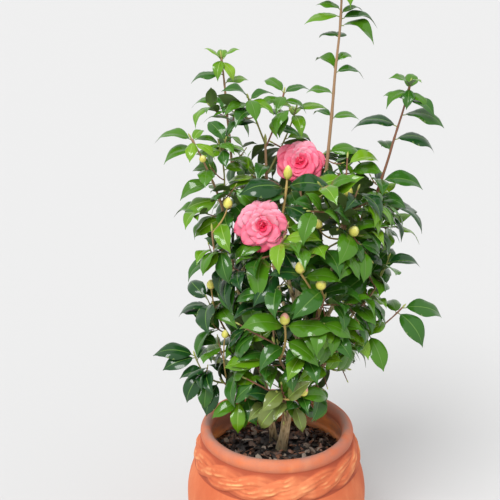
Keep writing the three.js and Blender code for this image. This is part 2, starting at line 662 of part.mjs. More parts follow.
function twigFits(twig, mass) {
  if (!clearOfPot(twig.tip)) return false;
  const line = [twig.point(TWIG_START), twig.point(1)];
  const reach = TWIG_RADII[0] + LIMB_CLEARANCE;
  const others = grown.stretches.filter((other) => other.limb !== mass.stem);
  if (others.some((other) => stretchGap(line, other.line) < other.radius + reach)) return false;
  return !grown.leaves.some((leaf) => leafHitsStretch(leaf, { line, radius: TWIG_RADII[0] + 1 }));
}

// A bloom stands on the end of its stem and faces along "facing"; no leaf hides its face
function addBloom(mass) {
  const facing = vector(mass.row.bloom).normalize();
  const base = mass.stem.point(1);
  const size = mass.row.bloomSize;
  grown.blooms.push({ mass, base, facing, size });
  const line = [sum(base, facing, BLOOM_DEPTH * BLOOM_SIGHT.from), sum(base, facing, SIGHT_LENGTH)];
  grown.stretches.push({ line, radius: BLOOM_RADIUS * BLOOM_SIGHT.share * size, mass, limb: null });
}

function addBud(mass, shoot, size) {
  const base = shoot.point(1);
  const facing = shoot.heading(1).lerp(UP, 0.5).normalize();
  grown.buds.push({ mass, base, facing, size });
  const middle = sum(base, facing, BUD_LENGTH * size / 2);
  const lines = [
    [base, sum(base, facing, BUD_LENGTH * size)],
    [middle, sum(middle, vector(BUD_SIGHT).normalize(), SIGHT_LENGTH / 2)],
  ];
  for (const line of lines) {
    grown.stretches.push({ line, radius: BUD_RADIUS * size, mass, limb: shoot });
  }
}

function bloomSolid({ base, facing, size }) {
  return ringBody(BLOOM_RINGS.map(([reach, depth, lobe], index) => {
    const centre = sum(base, facing, BLOOM_DEPTH * size * depth);
    const wave = (angle) => lobe * Math.cos(BLOOM_LOBES * angle + index * BLOOM_TURN);
    const reachAt = (angle) => BLOOM_RADIUS * size * (reach + wave(angle));
    return ringOf(centre, facing, UP, BLOOM_LOBES * 2, reachAt);
  }));
}

function budSolid({ base, facing, size }) {
  return ringBody(BUD_RINGS.map(([depth, reach]) => {
    const centre = sum(base, facing, BUD_LENGTH * size * depth);
    return ringOf(centre, facing, ACROSS, BUD_SIDES, () => BUD_RADIUS * size * reach);
  }));
}

// The pot's outside, rim and inside as one closed outline turned about the upright axis
const point2 = (x, y) => new THREE.Vector2(x, y);

function potOutside() {
  const belly = new THREE.SplineCurve(POT_BELLY.map(([share, height]) => (
    point2(POT_BELLY_RADIUS * share, height)))).getPoints(8);
  const rope = POT_ROPE_HEIGHTS.flatMap((height) => [
    point2(POT_ROPE_RADIUS - POT_ROPE_DEPTH, height - 2 * POT_ROPE_DEPTH), point2(POT_ROPE_RADIUS, height)]);
  return [...belly, ...rope, point2(POT_NECK_RADIUS, POT_NECK_HEIGHT)];
}

// The rolled rim goes a little more than half way round
function potRim() {
  const half = (POT_RIM_RADIUS - POT_MOUTH_RADIUS) / 2;
  const list = [];
  for (let i = 0; i <= RIM_STEPS; i++) {
    const angle = within([-RIM_TUCK, Math.PI + RIM_TUCK], i / RIM_STEPS);
    const across = POT_MOUTH_RADIUS + half + half * Math.cos(angle);
    list.push(point2(across, POT_HEIGHT - RIM_HALF_HEIGHT * (1 - Math.sin(angle))));
  }
  return list;
}

// The inside follows the wall; "clear" makes the soil's side of it narrower by a gap
function potInside(clear) {
  const wall = new THREE.SplineCurve([
    point2(POT_NECK_RADIUS - POT_WALL / 2, SOIL_HEIGHT - SOIL_EDGE_DROP),
    point2(POT_BELLY_RADIUS - POT_WALL, POT_BELLY_HEIGHT),
    point2(POT_BELLY_RADIUS - 2.5 * POT_WALL, POT_BELLY_HEIGHT / 2),
    point2(POT_FOOT_RADIUS - POT_WALL, POT_FLOOR),
  ]).getPoints(4);
  return wall.map(({ x, y }) => point2(x - clear, y + (y < POT_FLOOR + 1 ? clear : 0)));
}

function turned(outline, material) {
  const geometry = new THREE.LatheGeometry(outline, POT_SIDES);
  geometry.rotateX(Math.PI / 2);
  return new THREE.Mesh(geometry, new THREE.MeshStandardMaterial(material));
}

function makePot() {
  const outline = [point2(0, 0), ...potOutside(), ...potRim(), ...potInside(0), point2(0, POT_FLOOR)];
  return turned(outline, FINISHES.pot);
}

function makeSoil() {
  const inside = potInside(SEAT).reverse();
  const top = [point2(SOIL_FLAT_RADIUS, SOIL_HEIGHT), point2(0, SOIL_HEIGHT)];
  const outline = [point2(0, POT_FLOOR + SEAT), ...inside, ...top];
  return turned(outline, FINISHES.soil);
}

// A mesh of the largest single body in a solid: loose scraps and sealed hollows are dropped
function toMesh(name, solid, finish) {
  const bodies = solid.decompose().sort((one, two) => two.volume() - one.volume());
  const { vertProperties, triVerts } = bodies[0].getMesh();
  const geometry = new THREE.BufferGeometry();
  geometry.setAttribute('position', new THREE.BufferAttribute(new Float32Array(vertProperties), 3));
  geometry.setIndex([...triVerts]);
  geometry.computeVertexNormals();
  const mesh = new THREE.Mesh(geometry, new THREE.MeshStandardMaterial(finish));
  mesh.name = name;
  return mesh;
}

const limbs = new Map();
for (const row of LIMBS) {
  const foot = row.parent ? limbs.get(row.parent).point(row.at) : vector(row.foot);
  const shape = { foot, tip: vector(row.tip), bend: vector(row.bend), radii: row.radii };
  limbs.set(row.name, makeLimb({ ...shape, flare: row.parent ? 0 : ROOT_FLARE }));
}

const MASS_STEMS = MASSES.map((row) => {
  const foot = limbs.get(row.parent).point(row.at);
  const stem = makeLimb({ foot, tip: vector(row.tip), bend: vector(row.bend), radii: row.radii });
  return { name: row.name, row, stem };
});

const RULED_MASSES = MASS_STEMS.filter((mass) => mass.row.ruled);

// The limbs, stems, shoots, blooms and buds come first, then the leaves of the tall shoots,
// and last the twigs and leaves that follow the rule
for (const limb of limbs.values()) grown.stretches.push(...stretches(limb, null));
for (const mass of MASS_STEMS) {
  grown.stretches.push(...stretches(mass.stem, mass));
  mass.shoots = (mass.row.shoots ?? []).map(({ at, tip, bend = [0, 0, 0] }) => (
    makeLimb({ foot: mass.stem.point(at), tip: vector(tip), bend: vector(bend), radii: SHOOT_RADII })));
  for (const shoot of mass.shoots) {
    grown.twigs.push({ twig: shoot, mass, steps: SHOOT_STEPS });
    grown.stretches.push(...stretches(shoot, mass, 4));
  }
}
for (const mass of MASS_STEMS) {
  if (mass.row.bloom) addBloom(mass);
  mass.shoots.forEach((shoot, index) => {
    const { bud } = mass.row.shoots[index];
    if (bud) addBud(mass, shoot, bud);
  });
}
for (const mass of MASS_STEMS) {
  for (const leaf of mass.row.leaves ?? []) placeLeaf(mass, mass.stem, leaf);
  mass.shoots.forEach((shoot, index) => {
    for (const leaf of mass.row.shoots[index].leaves ?? []) placeLeaf(mass, shoot, leaf);
  });
}
growCrown();

// Each limb is cut clear of the one that carries it
const plant = new THREE.Group();
const sidesOf = (name) => (name.startsWith('trunk') ? TRUNK_SIDES : BOUGH_SIDES);
const fatOf = (name) => limbSolid(limbs.get(name), sidesOf(name), LIMB_STEPS, SEAT);

const pot = makePot();
pot.name = 'pot';
const soil = makeSoil();
soil.name = 'soil';
plant.add(pot, soil);

for (const row of LIMBS) {
  let solid = limbSolid(limbs.get(row.name), sidesOf(row.name), LIMB_STEPS);
  if (row.parent) solid = solid.subtract(fatOf(row.parent));
  plant.add(toMesh(row.name, solid, FINISHES.stem));
}

const ofMass = (list, mass) => list.filter((item) => item.mass === mass);
for (const mass of MASS_STEMS) {
  const pieces = [
    ...ofMass(grown.twigs, mass).map(({ twig, steps }) => limbSolid(twig, TWIG_SIDES, steps)),
    ...ofMass(grown.leaves, mass).map(leafSolid),
    ...ofMass(grown.buds, mass).map(budSolid),
    ...ofMass(grown.blooms, mass).map(bloomSolid),
  ];
  const stem = limbSolid(mass.stem, STEM_SIDES, STEM_STEPS);
  const whole = pieces.reduce((body, piece) => body.add(piece), stem);
  plant.add(toMesh(mass.name, whole.subtract(fatOf(mass.row.parent)), FINISHES.foliage));
}

export default plant;
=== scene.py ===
# A potted camellia shrub as it looks: glossy leaves and two pink blooms on slender stems that
# rise from bark mulch, in a weathered terracotta pot with a rope band round its shoulder.
import functools
import math
import random
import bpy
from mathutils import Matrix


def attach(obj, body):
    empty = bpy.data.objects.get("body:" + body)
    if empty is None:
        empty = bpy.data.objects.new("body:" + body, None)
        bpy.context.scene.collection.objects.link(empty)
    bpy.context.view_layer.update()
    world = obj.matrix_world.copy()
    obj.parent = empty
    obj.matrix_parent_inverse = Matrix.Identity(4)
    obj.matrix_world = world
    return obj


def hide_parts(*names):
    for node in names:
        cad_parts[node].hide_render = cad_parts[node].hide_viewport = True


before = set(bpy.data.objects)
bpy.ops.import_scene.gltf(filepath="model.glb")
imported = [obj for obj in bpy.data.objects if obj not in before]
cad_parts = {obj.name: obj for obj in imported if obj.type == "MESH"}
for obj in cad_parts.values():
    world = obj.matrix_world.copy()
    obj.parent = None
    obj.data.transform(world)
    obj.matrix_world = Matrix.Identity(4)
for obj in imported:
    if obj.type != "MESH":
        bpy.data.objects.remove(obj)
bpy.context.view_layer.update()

from types import SimpleNamespace

import bpy
import numpy as np
from mathutils import Vector, noise

# Everything below is worked out in millimetres, apart from the materials and the studio, and
# every mesh is made in metres
MM = 0.001
FULL_TURN = 2 * math.pi
ANY_ANGLE = (0, 6.28)
UP = Vector((0, 0, 1))
ACROSS = Vector((1, 0, 0))

# The pot and its filling
POT_HEIGHT = 320
POT_BELLY_RADIUS = 188.5
POT_FOOT_RADIUS = 118
POT_BELLY_HEIGHT = 165
POT_NECK_RADIUS = 155
POT_RIM_RADIUS = 159.5
POT_MOUTH_RADIUS = 135.5
POT_WALL = 19
POT_FLOOR = 22
RIM_HALF_HEIGHT = 15
SOIL_HEIGHT = 249
SOIL_EDGE_DROP = 8
SOIL_FLAT_RADIUS = 78
SEAT = 0.3
GROUND = SOIL_HEIGHT + SEAT

# The rule of growth, as the solids follow it: leaves
LEAF_LENGTH = 82
LEAF_WIDTH = 0.54
LEAF_WIDEST = 0.46
LEAF_ARCH = 0.09
LEAF_DIP = 0.05
LEAF_THICKNESS = 1.8
LEAF_SUNK = 0.8
LEAF_REACH = 0.56
LEAF_SIZES = (0.84, 1.14)
LEAF_DROOPS = (0.1, 0.8)
LEAF_ROLLS = (-0.35, 0.35)
LEAF_FORWARD = 0.5
LEAF_OUTWARD = 0.5
FACE_OUTWARD = 0.7
STEEP = 0.7
LEAF_TURNS = 6
LEAF_TURN = 1.1
LEAF_SHRINK = 0.05
LAST_LEAF = 0.99
NAMED_TURNS = (0, 0.25, -0.25, 0.5, -0.5)
TO_THE_LIGHT = Vector((0, -0.6, 1))

# Clearances kept by leaves and twigs
LIMB_CLEARANCE = 1.2
LEAF_CLEARANCE = 2.6
FINE_CLEARANCE = 0.6
RIM_CLEARANCE = 6
MOUTH_CLEARANCE = 12
SOIL_CLEARANCE = 30
SIGHT_LENGTH = 90

# Two rounds of twigs: the crown's, as in the solids, and finer ones with closer, smaller leaves.
# "leaves" is the least number on a twig, how many more there may be, and the first one's place
CROWN_TWIGS = SimpleNamespace(
    seed=7, count=84, heights=(372, 900), shares=(0.52, 0.76), reach=(30, 150), radii=(2, 1.4),
    places=(0.15, 0.3, 0.45, 0.6, 0.75, 0.9, 0.98), leaves=(4, 2, 0.3), size=1,
    clearance=LEAF_CLEARANCE)
FINE_TWIGS = SimpleNamespace(
    seed=23, count=150, heights=(366, 830), shares=(0.4, 0.84), reach=(16, 95), radii=(1.3, 0.9),
    places=(0.35, 0.55, 0.75, 0.92), leaves=(3, 2, 0.25), size=0.9, clearance=FINE_CLEARANCE)
SPIRAL = math.radians(137.5)
SHOOT_RADII = (1.9, 1.3)
SPACE_PLACES = (0.4, 0.7, 1)
TWIG_NUDGES = (0, 0.16, -0.16, 0.32, -0.32)
NUDGE_HEIGHT = 60
TWIG_START = 0.12
STEM_LEAVES = (3, 0.5)
SHOOT_LEAVES = (2, 0.2)
ROOT_FLARE = 3.5
FLARE_FALL = 22
LIMB_STRETCHES = 6
SHOOT_STRETCHES = 4
TWIG_STRETCHES = 2
BUD_SHOOT_STRETCHES = 3

# Blooms and buds. The space cleared before a bloom starts at a share of its depth, and is a
# share of its radius wide
BLOOM_RADIUS = 53
BLOOM_DEPTH = 34
BLOOM_CLEARED = (0.7, 0.8)
BUD_LENGTH = 25
BUD_RADIUS = 8.5
BUD_SIGHT = Vector((0, -1, 0.5)).normalized()

# Where the photo was taken from, and what leaves must not hide from there: the blooms and the
# front buds' stems. The free space starts at a share of its radius, one for leaves that are
# there already and one for those that come later
VIEWER = Vector((-56, -1836, 1356))
FREE_LENGTH = 260
FREE_FROM = (0.3, 0.5)
BLOOM_FREE = 0.84
STEM_FREE = 7
STEM_FREE_PLACES = (0.3, 0.6, 0.9)
FRONT_STEMS = ("upper_centre", "mid_front", "mid_front_right", "low_front")

# Where the photo shows sky: across, height and radius of each opening, on the plane y = 0
OPENINGS = ((120, 424, 30), (146, 440, 22), (98, 402, 22), (-118, 868, 16), (-62, 928, 22),
            (-172, 712, 26), (-178, 676, 22), (94, 715, 20), (-102, 527, 18), (104, 573, 16),
            (-3, 635, 18), (24, 590, 12))

# The crown's outline: height, its middle across, and its half width there
CROWN_OUTLINE = ((350, 0, 95), (430, 12, 158), (560, 36, 192), (700, 46, 200), (800, 44, 196),
                 (880, 40, 170), (940, 36, 90))

# Limbs: name, parent, place on it or a trunk's foot, tip, bend and radii
LIMBS = (
    ("trunk_front", None, (11, 15, GROUND), (42, 2, 620), (4, -12, 0), (10.2, 6.2)),
    ("trunk_back", None, (-4, 50, GROUND), (-52, 16, 540), (2, -4, 0), (7.4, 5.2)),
    ("bough_leader", "trunk_front", 1, (90, 5, 860), (-2, 0, 0), (5.6, 3.6)),
    ("bough_right", "trunk_front", 0.6, (173, -6, 775), (16, 6, -22), (5, 3.4)),
    ("bough_centre", "trunk_front", 0.87, (-25, 20, 820), (-3, 8, 0), (4.4, 3.2)),
    ("bough_front", "trunk_front", 0.72, (-8, -90, 690), (2, -16, -14), (4.2, 3)),
    ("bough_up_right", "trunk_front", 0.94, (112, -48, 715), (8, -6, -8), (4, 2.8)),
    ("bough_back", "trunk_front", 0.8, (62, 92, 690), (2, 14, -14), (4.2, 2.8)),
    ("bough_bloom", "bough_leader", 0.3, (44, 22, 800), (-4, 5, -4), (3.4, 2.6)),
    ("bough_mid_right", "bough_right", 0.3, (150, -30, 585), (6, -8, -12), (3.6, 2.6)),
    ("bough_right_back", "bough_right", 0.5, (160, 92, 690), (2, 12, -10), (3.4, 2.6)),
    ("bough_left", "trunk_back", 1, (-89, 78, 805), (-4, 6, 0), (4.6, 3.2)),
    ("bough_far_left", "trunk_back", 0.8, (-100, -26, 755), (-6, -4, -6), (4.2, 3)),
    ("bough_upper_left", "bough_far_left", 0.45, (-112, -58, 675), (-4, -8, -8), (3.2, 2.5)),
    ("bough_back_left", "trunk_back", 0.9, (-74, 98, 620), (-2, 14, -10), (3.8, 2.7)),
)

# Masses of foliage, in the same way
MASSES = (
    ("leader", "bough_leader", 1, (112, -14, 1245), (0, 0, 0), (3.3, 1.6)),
    ("right_leader", "bough_right", 1, (231, -46, 1036), (4, 0, 0), (3.1, 1.6)),
    ("left_leader", "bough_left", 1, (-112, 88, 1066), (2, 0, 0), (2.9, 1.5)),
    ("far_left", "bough_far_left", 1, (-163, -62, 939), (9, 0, 0), (2.7, 1.4)),
    ("centre_shoots", "bough_centre", 1, (-27, 20, 912), (0, 0, 0), (3, 2.2)),
    ("upper_centre", "bough_bloom", 1, (43, 36, 874), (0, 2, 0), (2.6, 2.2)),
    ("upper_front", "bough_front", 1, (-33, -72, 786), (0, 6, 0), (2.8, 2.3)),
    ("upper_right", "bough_up_right", 1, (118, -62, 800), (0, -4, 0), (2.7, 1.8)),
    ("upper_left", "bough_upper_left", 1, (-126, -80, 768), (-2, -6, 0), (2.4, 1.7)),
    ("upper_back", "bough_back", 1, (62, 125, 850), (0, 8, 0), (2.7, 1.8)),
    ("right_back", "bough_right_back", 1, (186, 112, 800), (2, 6, 0), (2.5, 1.7)),
    ("back_left", "bough_back_left", 1, (-86, 130, 770), (0, 8, 0), (2.6, 1.8)),
    ("mid_right", "bough_mid_right", 1, (196, -40, 665), (4, -2, -6), (2.5, 1.7)),
    ("mid_left", "trunk_back", 0.62, (-126, -22, 590), (-6, 0, -14), (3.2, 1.8)),
    ("mid_front", "trunk_front", 0.5, (-12, -118, 560), (0, -6, -16), (3.4, 1.9)),
    ("mid_front_right", "trunk_front", 0.66, (84, -108, 645), (4, -6, -14), (3.2, 1.8)),
    ("mid_back", "trunk_front", 0.55, (70, 120, 590), (4, 10, -14), (3.2, 1.8)),
    ("low_left", "trunk_back", 0.4, (-108, -20, 424), (-4, -2, -10), (3.2, 2)),
    ("low_front", "trunk_front", 0.34, (-2, -100, 440), (0, -4, -12), (3.2, 1.9)),
    ("low_right", "trunk_front", 0.43, (106, -58, 512), (8, -4, -12), (3.4, 2.2)),
    ("low_back", "trunk_back", 0.5, (-34, 122, 480), (0, 8, -10), (3, 1.8)),
    ("low_back_right", "trunk_front", 0.38, (110, 84, 470), (6, 6, -12), (3.2, 1.8)),
)

# The leaves of the tall masses, placed one by one: place on the stem, compass angle (0 is +X,
# 90 is the back), rise above the level, and length. The other masses grow by the rule
LEAVES = {
    "leader": (
        (0.99, 205, 38, 46), (0.985, 330, 34, 50), (0.97, 90, 30, 48), (0.91, 250, 8, 58),
        (0.87, 20, 6, 60), (0.83, 135, 4, 60), (0.785, 150, 14, 50), (0.77, 22, 14, 44),
        (0.755, 181, -4, 66), (0.745, 2, -2, 68), (0.715, 338, -16, 68), (0.665, 138, 0, 46),
        (0.655, 75, 8, 44), (0.545, 42, 14, 46), (0.51, 128, 20, 54), (0.495, 8, 0, 54),
        (0.39, 168, 6, 52), (0.275, 140, 8, 44), (0.265, 4, 2, 54), (0.1, 14, 4, 66),
    ),
    "right_leader": (
        (0.985, 205, 34, 46), (0.98, 318, 30, 44), (0.965, 70, 36, 46), (0.89, 158, 12, 44),
        (0.9, 322, -14, 64), (0.78, 345, -8, 80), (0.69, 172, 4, 84), (0.59, 0, -4, 78),
        (0.5, 100, 4, 66), (0.335, 166, 6, 62), (0.28, 350, -4, 80), (0.19, 250, -10, 66),
        (0.13, 345, -6, 62), (0.06, 20, -4, 66),
    ),
    "left_leader": (
        (0.985, 215, 36, 44), (0.98, 325, 34, 46), (0.96, 90, 34, 42), (0.87, 188, -4, 64),
        (0.8, 28, 10, 52), (0.65, 172, 2, 68), (0.56, 320, 8, 50), (0.4, 110, 0, 60), (0.3, 205, -6, 62),
        (0.14, 350, -4, 62),
    ),
    "far_left": (
        (0.98, 178, 6, 68), (0.97, 60, 26, 40), (0.86, 192, -6, 66), (0.82, 20, 8, 42),
        (0.66, 265, -10, 60), (0.52, 190, -20, 70), (0.42, 80, 0, 60), (0.32, 188, -14, 70),
        (0.2, 280, -20, 64), (0.1, 200, -24, 66),
    ),
    "centre_shoots": ((0.5, 250, -8, 58), (0.25, 100, 0, 60), (0.1, 175, -4, 62)),
}

# The masses' further shoots: place on the stem, tip, bend, size of the bud, and leaves as above
SHOOTS = {
    "far_left": (
        (0.22, (-113, -16, 918), (6, 0, 0), 0, (
            (0.98, 190, 20, 48), (0.97, 300, 6, 52), (0.95, 60, 20, 46), (0.6, 30, -4, 50))),
        (0.8, (-141, -78, 902), (0, 0, 0), 0.7, ()),
    ),
    "centre_shoots": (
        (0.97, (-58, -20, 1005), (-2, 0, 2), 0, (
            (0.99, 205, 24, 54), (0.97, 290, -30, 56), (0.95, 20, 16, 50), (0.75, 235, -14, 60),
            (0.45, 160, -4, 56))),
        (0.9, (7, 45, 1004), (3, 0, -4), 0, (
            (0.99, 140, 26, 56), (0.98, 12, 14, 52), (0.93, 255, -24, 50), (0.6, 95, 4, 56),
            (0.35, 345, -6, 54))),
        (0.3, (32, 64, 970), (4, 16, -12), 0, (
            (0.99, 352, 6, 62), (0.97, 200, 22, 44), (0.92, 272, -28, 56), (0.88, 80, 12, 56),
            (0.6, 10, -8, 60))),
    ),
    "upper_centre": ((0.2, (14, -44, 858), (-8, -6, -6), 1.3, ()),),
    "upper_right": (
        (0.9, (125, -52, 826), (0, 0, 0), 1, ()),
        (0.35, (71, -92, 778), (-6, 0, -6), 0.9, ()),
        (0.5, (132, -100, 768), (0, 0, 0), 1.1, ()),
    ),
    "upper_left": ((0.95, (-98, -78, 812), (4, 0, 0), 1, ()),),
    "mid_left": ((0.9, (-131, -66, 648), (0, -6, -6), 0.9, ()),),
    "mid_front": ((0.93, (7, -146, 607), (4, 0, -8), 1.15, ()),),
    "mid_front_right": (
        (0.8, (37, -136, 708), (-4, -8, -4), 1.1, ()),
        (1, (74, -144, 680), (0, 0, 0), 1.1, ()),
    ),
    "low_left": (
        (0.99, (-166, -26, 487), (-6, -6, -12), 0, (
            (0.99, 178, 10, 84), (0.96, 200, -14, 70), (0.9, 70, 6, 62), (0.62, 210, -48, 70),
            (0.45, 255, -60, 66), (0.3, 120, -10, 62), (0.15, 228, -52, 72))),
        (0.55, (-78, -52, 398), (0, 0, 0), 0, (
            (0.95, 205, -25, 64), (0.9, 262, -62, 66), (0.8, 300, -66, 60))),
        (0.8, (-104, -74, 548), (-8, -6, -6), 0.8, ()),
    ),
    "low_front": (
        (0.9, (44, -122, 448), (0, -4, -6), 1, ()),
        (0.5, (36, -62, 392), (0, 0, 0), 0, (
            (0.95, 300, -60, 56), (0.9, 350, -30, 60))),
    ),
    "low_right": (
        (0.97, (244, -24, 590), (4, -10, -6), 0, (
            (0.99, 2, -10, 86), (0.92, 318, -34, 82), (0.9, 95, 6, 66), (0.75, 215, -14, 62),
            (0.5, 300, -46, 76), (0.36, 80, -4, 70), (0.22, 280, -58, 78), (0.1, 120, -8, 66))),
    ),
}

# The blooms: which way each faces, and its size
BLOOMS = {"upper_centre": ((-0.09, -0.93, 0.3), 0.93), "upper_front": ((-0.1, -0.99, 0.02), 1)}

# Further side shoots: mass, its carrier (0 is the stem), place on it, tip, leaves, leaf size
SPRAY_SEED = 41
SPRAY_BEND = (0, 0, -4)
SPRAY_FIRST = 0.35
SPRAYS = (
    ("left_leader", 0, 0.2, (-66, 48, 893), 5, 0.78),
    ("left_leader", 0, 0.42, (-84, 66, 968), 4, 0.7),
    ("left_leader", 0, 0.55, (-134, 64, 975), 3, 0.7),
    ("far_left", 1, 0.45, (-128, -42, 880), 4, 0.7),
    ("far_left", 1, 0.85, (-100, -36, 932), 4, 0.68),
    ("far_left", 0, 0.3, (-84, -40, 842), 4, 0.86),
    ("far_left", 0, 0.12, (-150, -52, 800), 4, 0.8),
    ("centre_shoots", 0, 0.15, (-52, -16, 856), 5, 0.9),
    ("centre_shoots", 1, 0.6, (-70, 6, 968), 3, 0.8),
    ("centre_shoots", 2, 0.62, (20, 20, 978), 3, 0.8),
    ("upper_left", 0, 0.3, (-132, -84, 742), 4, 0.8),
    ("upper_left", 0, 0.6, (-104, -104, 742), 4, 0.9),
    ("mid_left", 0, 0.85, (-140, -48, 622), 4, 0.95),
    ("mid_left", 0, 0.7, (-128, -52, 566), 4, 0.9),
    ("low_left", 3, 0.6, (-118, -56, 540), 4, 0.86),
    ("low_left", 1, 0.55, (-140, -44, 470), 4, 0.8),
    ("right_leader", 0, 0.12, (196, -46, 812), 4, 0.8),
    ("right_leader", 0, 0.24, (172, -20, 856), 3, 0.78),
    ("leader", 0, 0.06, (118, -10, 880), 4, 0.82),
    ("right_leader", 0, 0.02, (226, -16, 798), 4, 0.84),
    ("right_back", 0, 0.3, (226, 10, 748), 4, 0.84),
    ("mid_right", 0, 0.9, (210, -48, 708), 4, 0.84),
)

# More leaves round the tips of the tall shoots: mass, carrier, then place, compass, rise, length
TIP_LEAVES = (
    ("leader", 0, ((0.978, 262, -30, 46), (0.955, 310, -28, 50), (0.94, 168, -10, 52),
                   (0.9, 290, -30, 54), (0.02, 312, -52, 80))),
    ("right_leader", 0, ((0.97, 262, -38, 44), (0.95, 200, -20, 50), (0.94, 345, -20, 48))),
    ("left_leader", 0, ((0.975, 250, -42, 44), (0.965, 300, -38, 46), (0.92, 300, -20, 50),
                        (0.72, 250, -24, 52))),
    ("far_left", 0, ((0.96, 262, -34, 44), (0.94, 310, -24, 46))),
    ("far_left", 1, ((0.96, 255, -36, 48), (0.93, 345, -14, 52), (0.9, 165, -10, 52))),
    ("centre_shoots", 1, ((0.97, 258, -36, 50), (0.93, 330, -20, 54), (0.85, 200, -12, 54))),
    ("centre_shoots", 2, ((0.97, 275, -36, 48), (0.9, 200, -14, 54), (0.85, 330, -20, 52))),
)

# Upright shoots under the front buds: mass, place on its stem, tip, bend, radii and leaves. Each
# takes the place of the shoot to the same bud, and older leaves near its own leaves make way
BUD_SHOOTS = (
    ("upper_front", 0.42, (13, -45, 857), (6, -4, 0), (2.9, 2.1),
     ((0.86, 200, 8, 92), (0.88, 338, 8, 92), (0.8, 214, -6, 50), (0.62, 322, -18, 76))),
    ("mid_front", 0.68, (7, -145, 606), (5, -10, 0), (2.6, 1.9),
     ((0.93, 196, 10, 84), (0.95, 338, 4, 90), (0.6, 330, -24, 78), (0.45, 212, -26, 66))),
    ("mid_front_right", 0.8, (37, -135, 707), (6, -6, 0), (2.4, 1.8),
     ((0.95, 200, 12, 64), (0.9, 345, 4, 70), (0.5, 215, -18, 60))),
)
MAKE_WAY = 34
SAME_BUD = 6


def within(low_high, share):
    return low_high[0] + (low_high[1] - low_high[0]) * share


def square_to(direction, wish):
    """The part of a vector that is square to a unit direction, as a unit vector."""
    return (wish - direction * wish.dot(direction)).normalized()


def toward_compass(compass, rise, turn=0):
    """The unit vector at a compass angle and a rise in degrees, turned on by a further angle."""
    angle, lift = math.radians(compass) + turn, math.radians(rise)
    level = math.cos(lift)
    return Vector((math.cos(angle) * level, math.sin(angle) * level, math.sin(lift)))


def ramp(value, start, length):
    """Climbs from 0 to 1 over a length that begins at the start."""
    return np.clip((value - start) / length, 0, 1)


def make_dice(seed):
    """The same seeded run of numbers from 0 to 1 that the solids grow by."""
    state = (seed * 7919 + 12345) % 2**32

    def roll():
        nonlocal state
        state = (state * 1664525 + 1013904223) % 2**32
        return state / 2**32
    return roll


class Limb:
    """A limb or twig: a curve whose middle is moved by "bend", and a radius that tapers."""

    count = 0

    def __init__(self, foot, tip, bend=(0, 0, 0), radii=SHOOT_RADII, flare=0, bud=0, leaves=()):
        self.foot, self.tip = Vector(foot), Vector(tip)
        self.middle = (self.foot + self.tip) / 2 + 2 * Vector(bend)
        self.radii, self.flare, self.bud, self.leaves = radii, flare, bud, leaves
        self.number = Limb.count
        Limb.count += 1

    def point(self, t):
        return self.foot.lerp(self.middle, t).lerp(self.middle.lerp(self.tip, t), t)

    def heading(self, t):
        return (self.middle - self.foot).lerp(self.tip - self.middle, t).normalized()

    def radius(self, t):
        return within(self.radii, t) + self.flare * math.exp(-t * FLARE_FALL)

    def length(self):
        return (self.point(0.5) - self.foot).length + (self.tip - self.point(0.5)).length


class Mass:
    """A mass of foliage: a stem on its parent, and the stem's further shoots."""

    def __init__(self, name, parent, at, tip, bend, radii):
        self.name = name
        self.ruled = name not in LEAVES
        self.stem = Limb(limbs[parent].point(at), tip, bend, radii, leaves=LEAVES.get(name, ()))
        self.shoots = [Limb(self.stem.point(at), tip, bend, bud=bud, leaves=leaves)
                       for at, tip, bend, bud, leaves in SHOOTS.get(name, ())]
        self.carriers = [self.stem, *self.shoots]


# A leaf in the clearance tests: the edges and faces between its root, left, right, crest and tip
EDGES = np.array([(0, 1), (1, 4), (4, 2), (2, 0), (0, 3), (3, 4), (1, 3), (3, 2)])
FACES = np.array([(0, 1, 3), (0, 3, 2), (3, 1, 4), (3, 4, 2)])


class Leaf:
    def __init__(self, mass, carrier, place, along, wish, length):
        self.mass, self.carrier, self.place, self.length = mass, carrier, place, length
        self.base, self.along = carrier.point(place), along
        self.up = square_to(along, wish)
        middle = self.base + along * length * LEAF_WIDEST + self.up * length * LEAF_ARCH
        half = along.cross(self.up) * length * LEAF_WIDTH / 2
        self.corners = (self.base - along * LEAF_SUNK, middle + half, middle - half,
                        middle + self.up * LEAF_THICKNESS,
                        self.base + along * length - self.up * length * LEAF_DIP)
        self.centre = self.base + along * length / 2
        self.reach = length * LEAF_REACH
        corners = np.array(self.corners)
        self.edges, self.faces = corners[EDGES], corners[FACES]


def passes(edges, faces, more):
    """Whether any straight stretch, "more" longer at both ends, passes through any face."""
    run = (edges[:, 1] - edges[:, 0])[:, None]
    slack = more / np.linalg.norm(run, axis=2)
    edge_b = (faces[:, 1] - faces[:, 0])[None]
    edge_c = (faces[:, 2] - faces[:, 0])[None]
    normal = np.cross(run, edge_c)
    size = (edge_b * normal).sum(2)
    level = np.abs(size) < 1e-9
    size = np.where(level, 1, size)
    start = edges[:, None, 0] - faces[None, :, 0]
    u = (start * normal).sum(2) / size
    turned = np.cross(start, edge_b)
    v = (run * turned).sum(2) / size
    t = (edge_c * turned).sum(2) / size
    inside = ~level & (u >= 0) & (v >= 0) & (u + v <= 1)
    return bool((inside & (t > -slack) & (t < 1 + slack)).any())


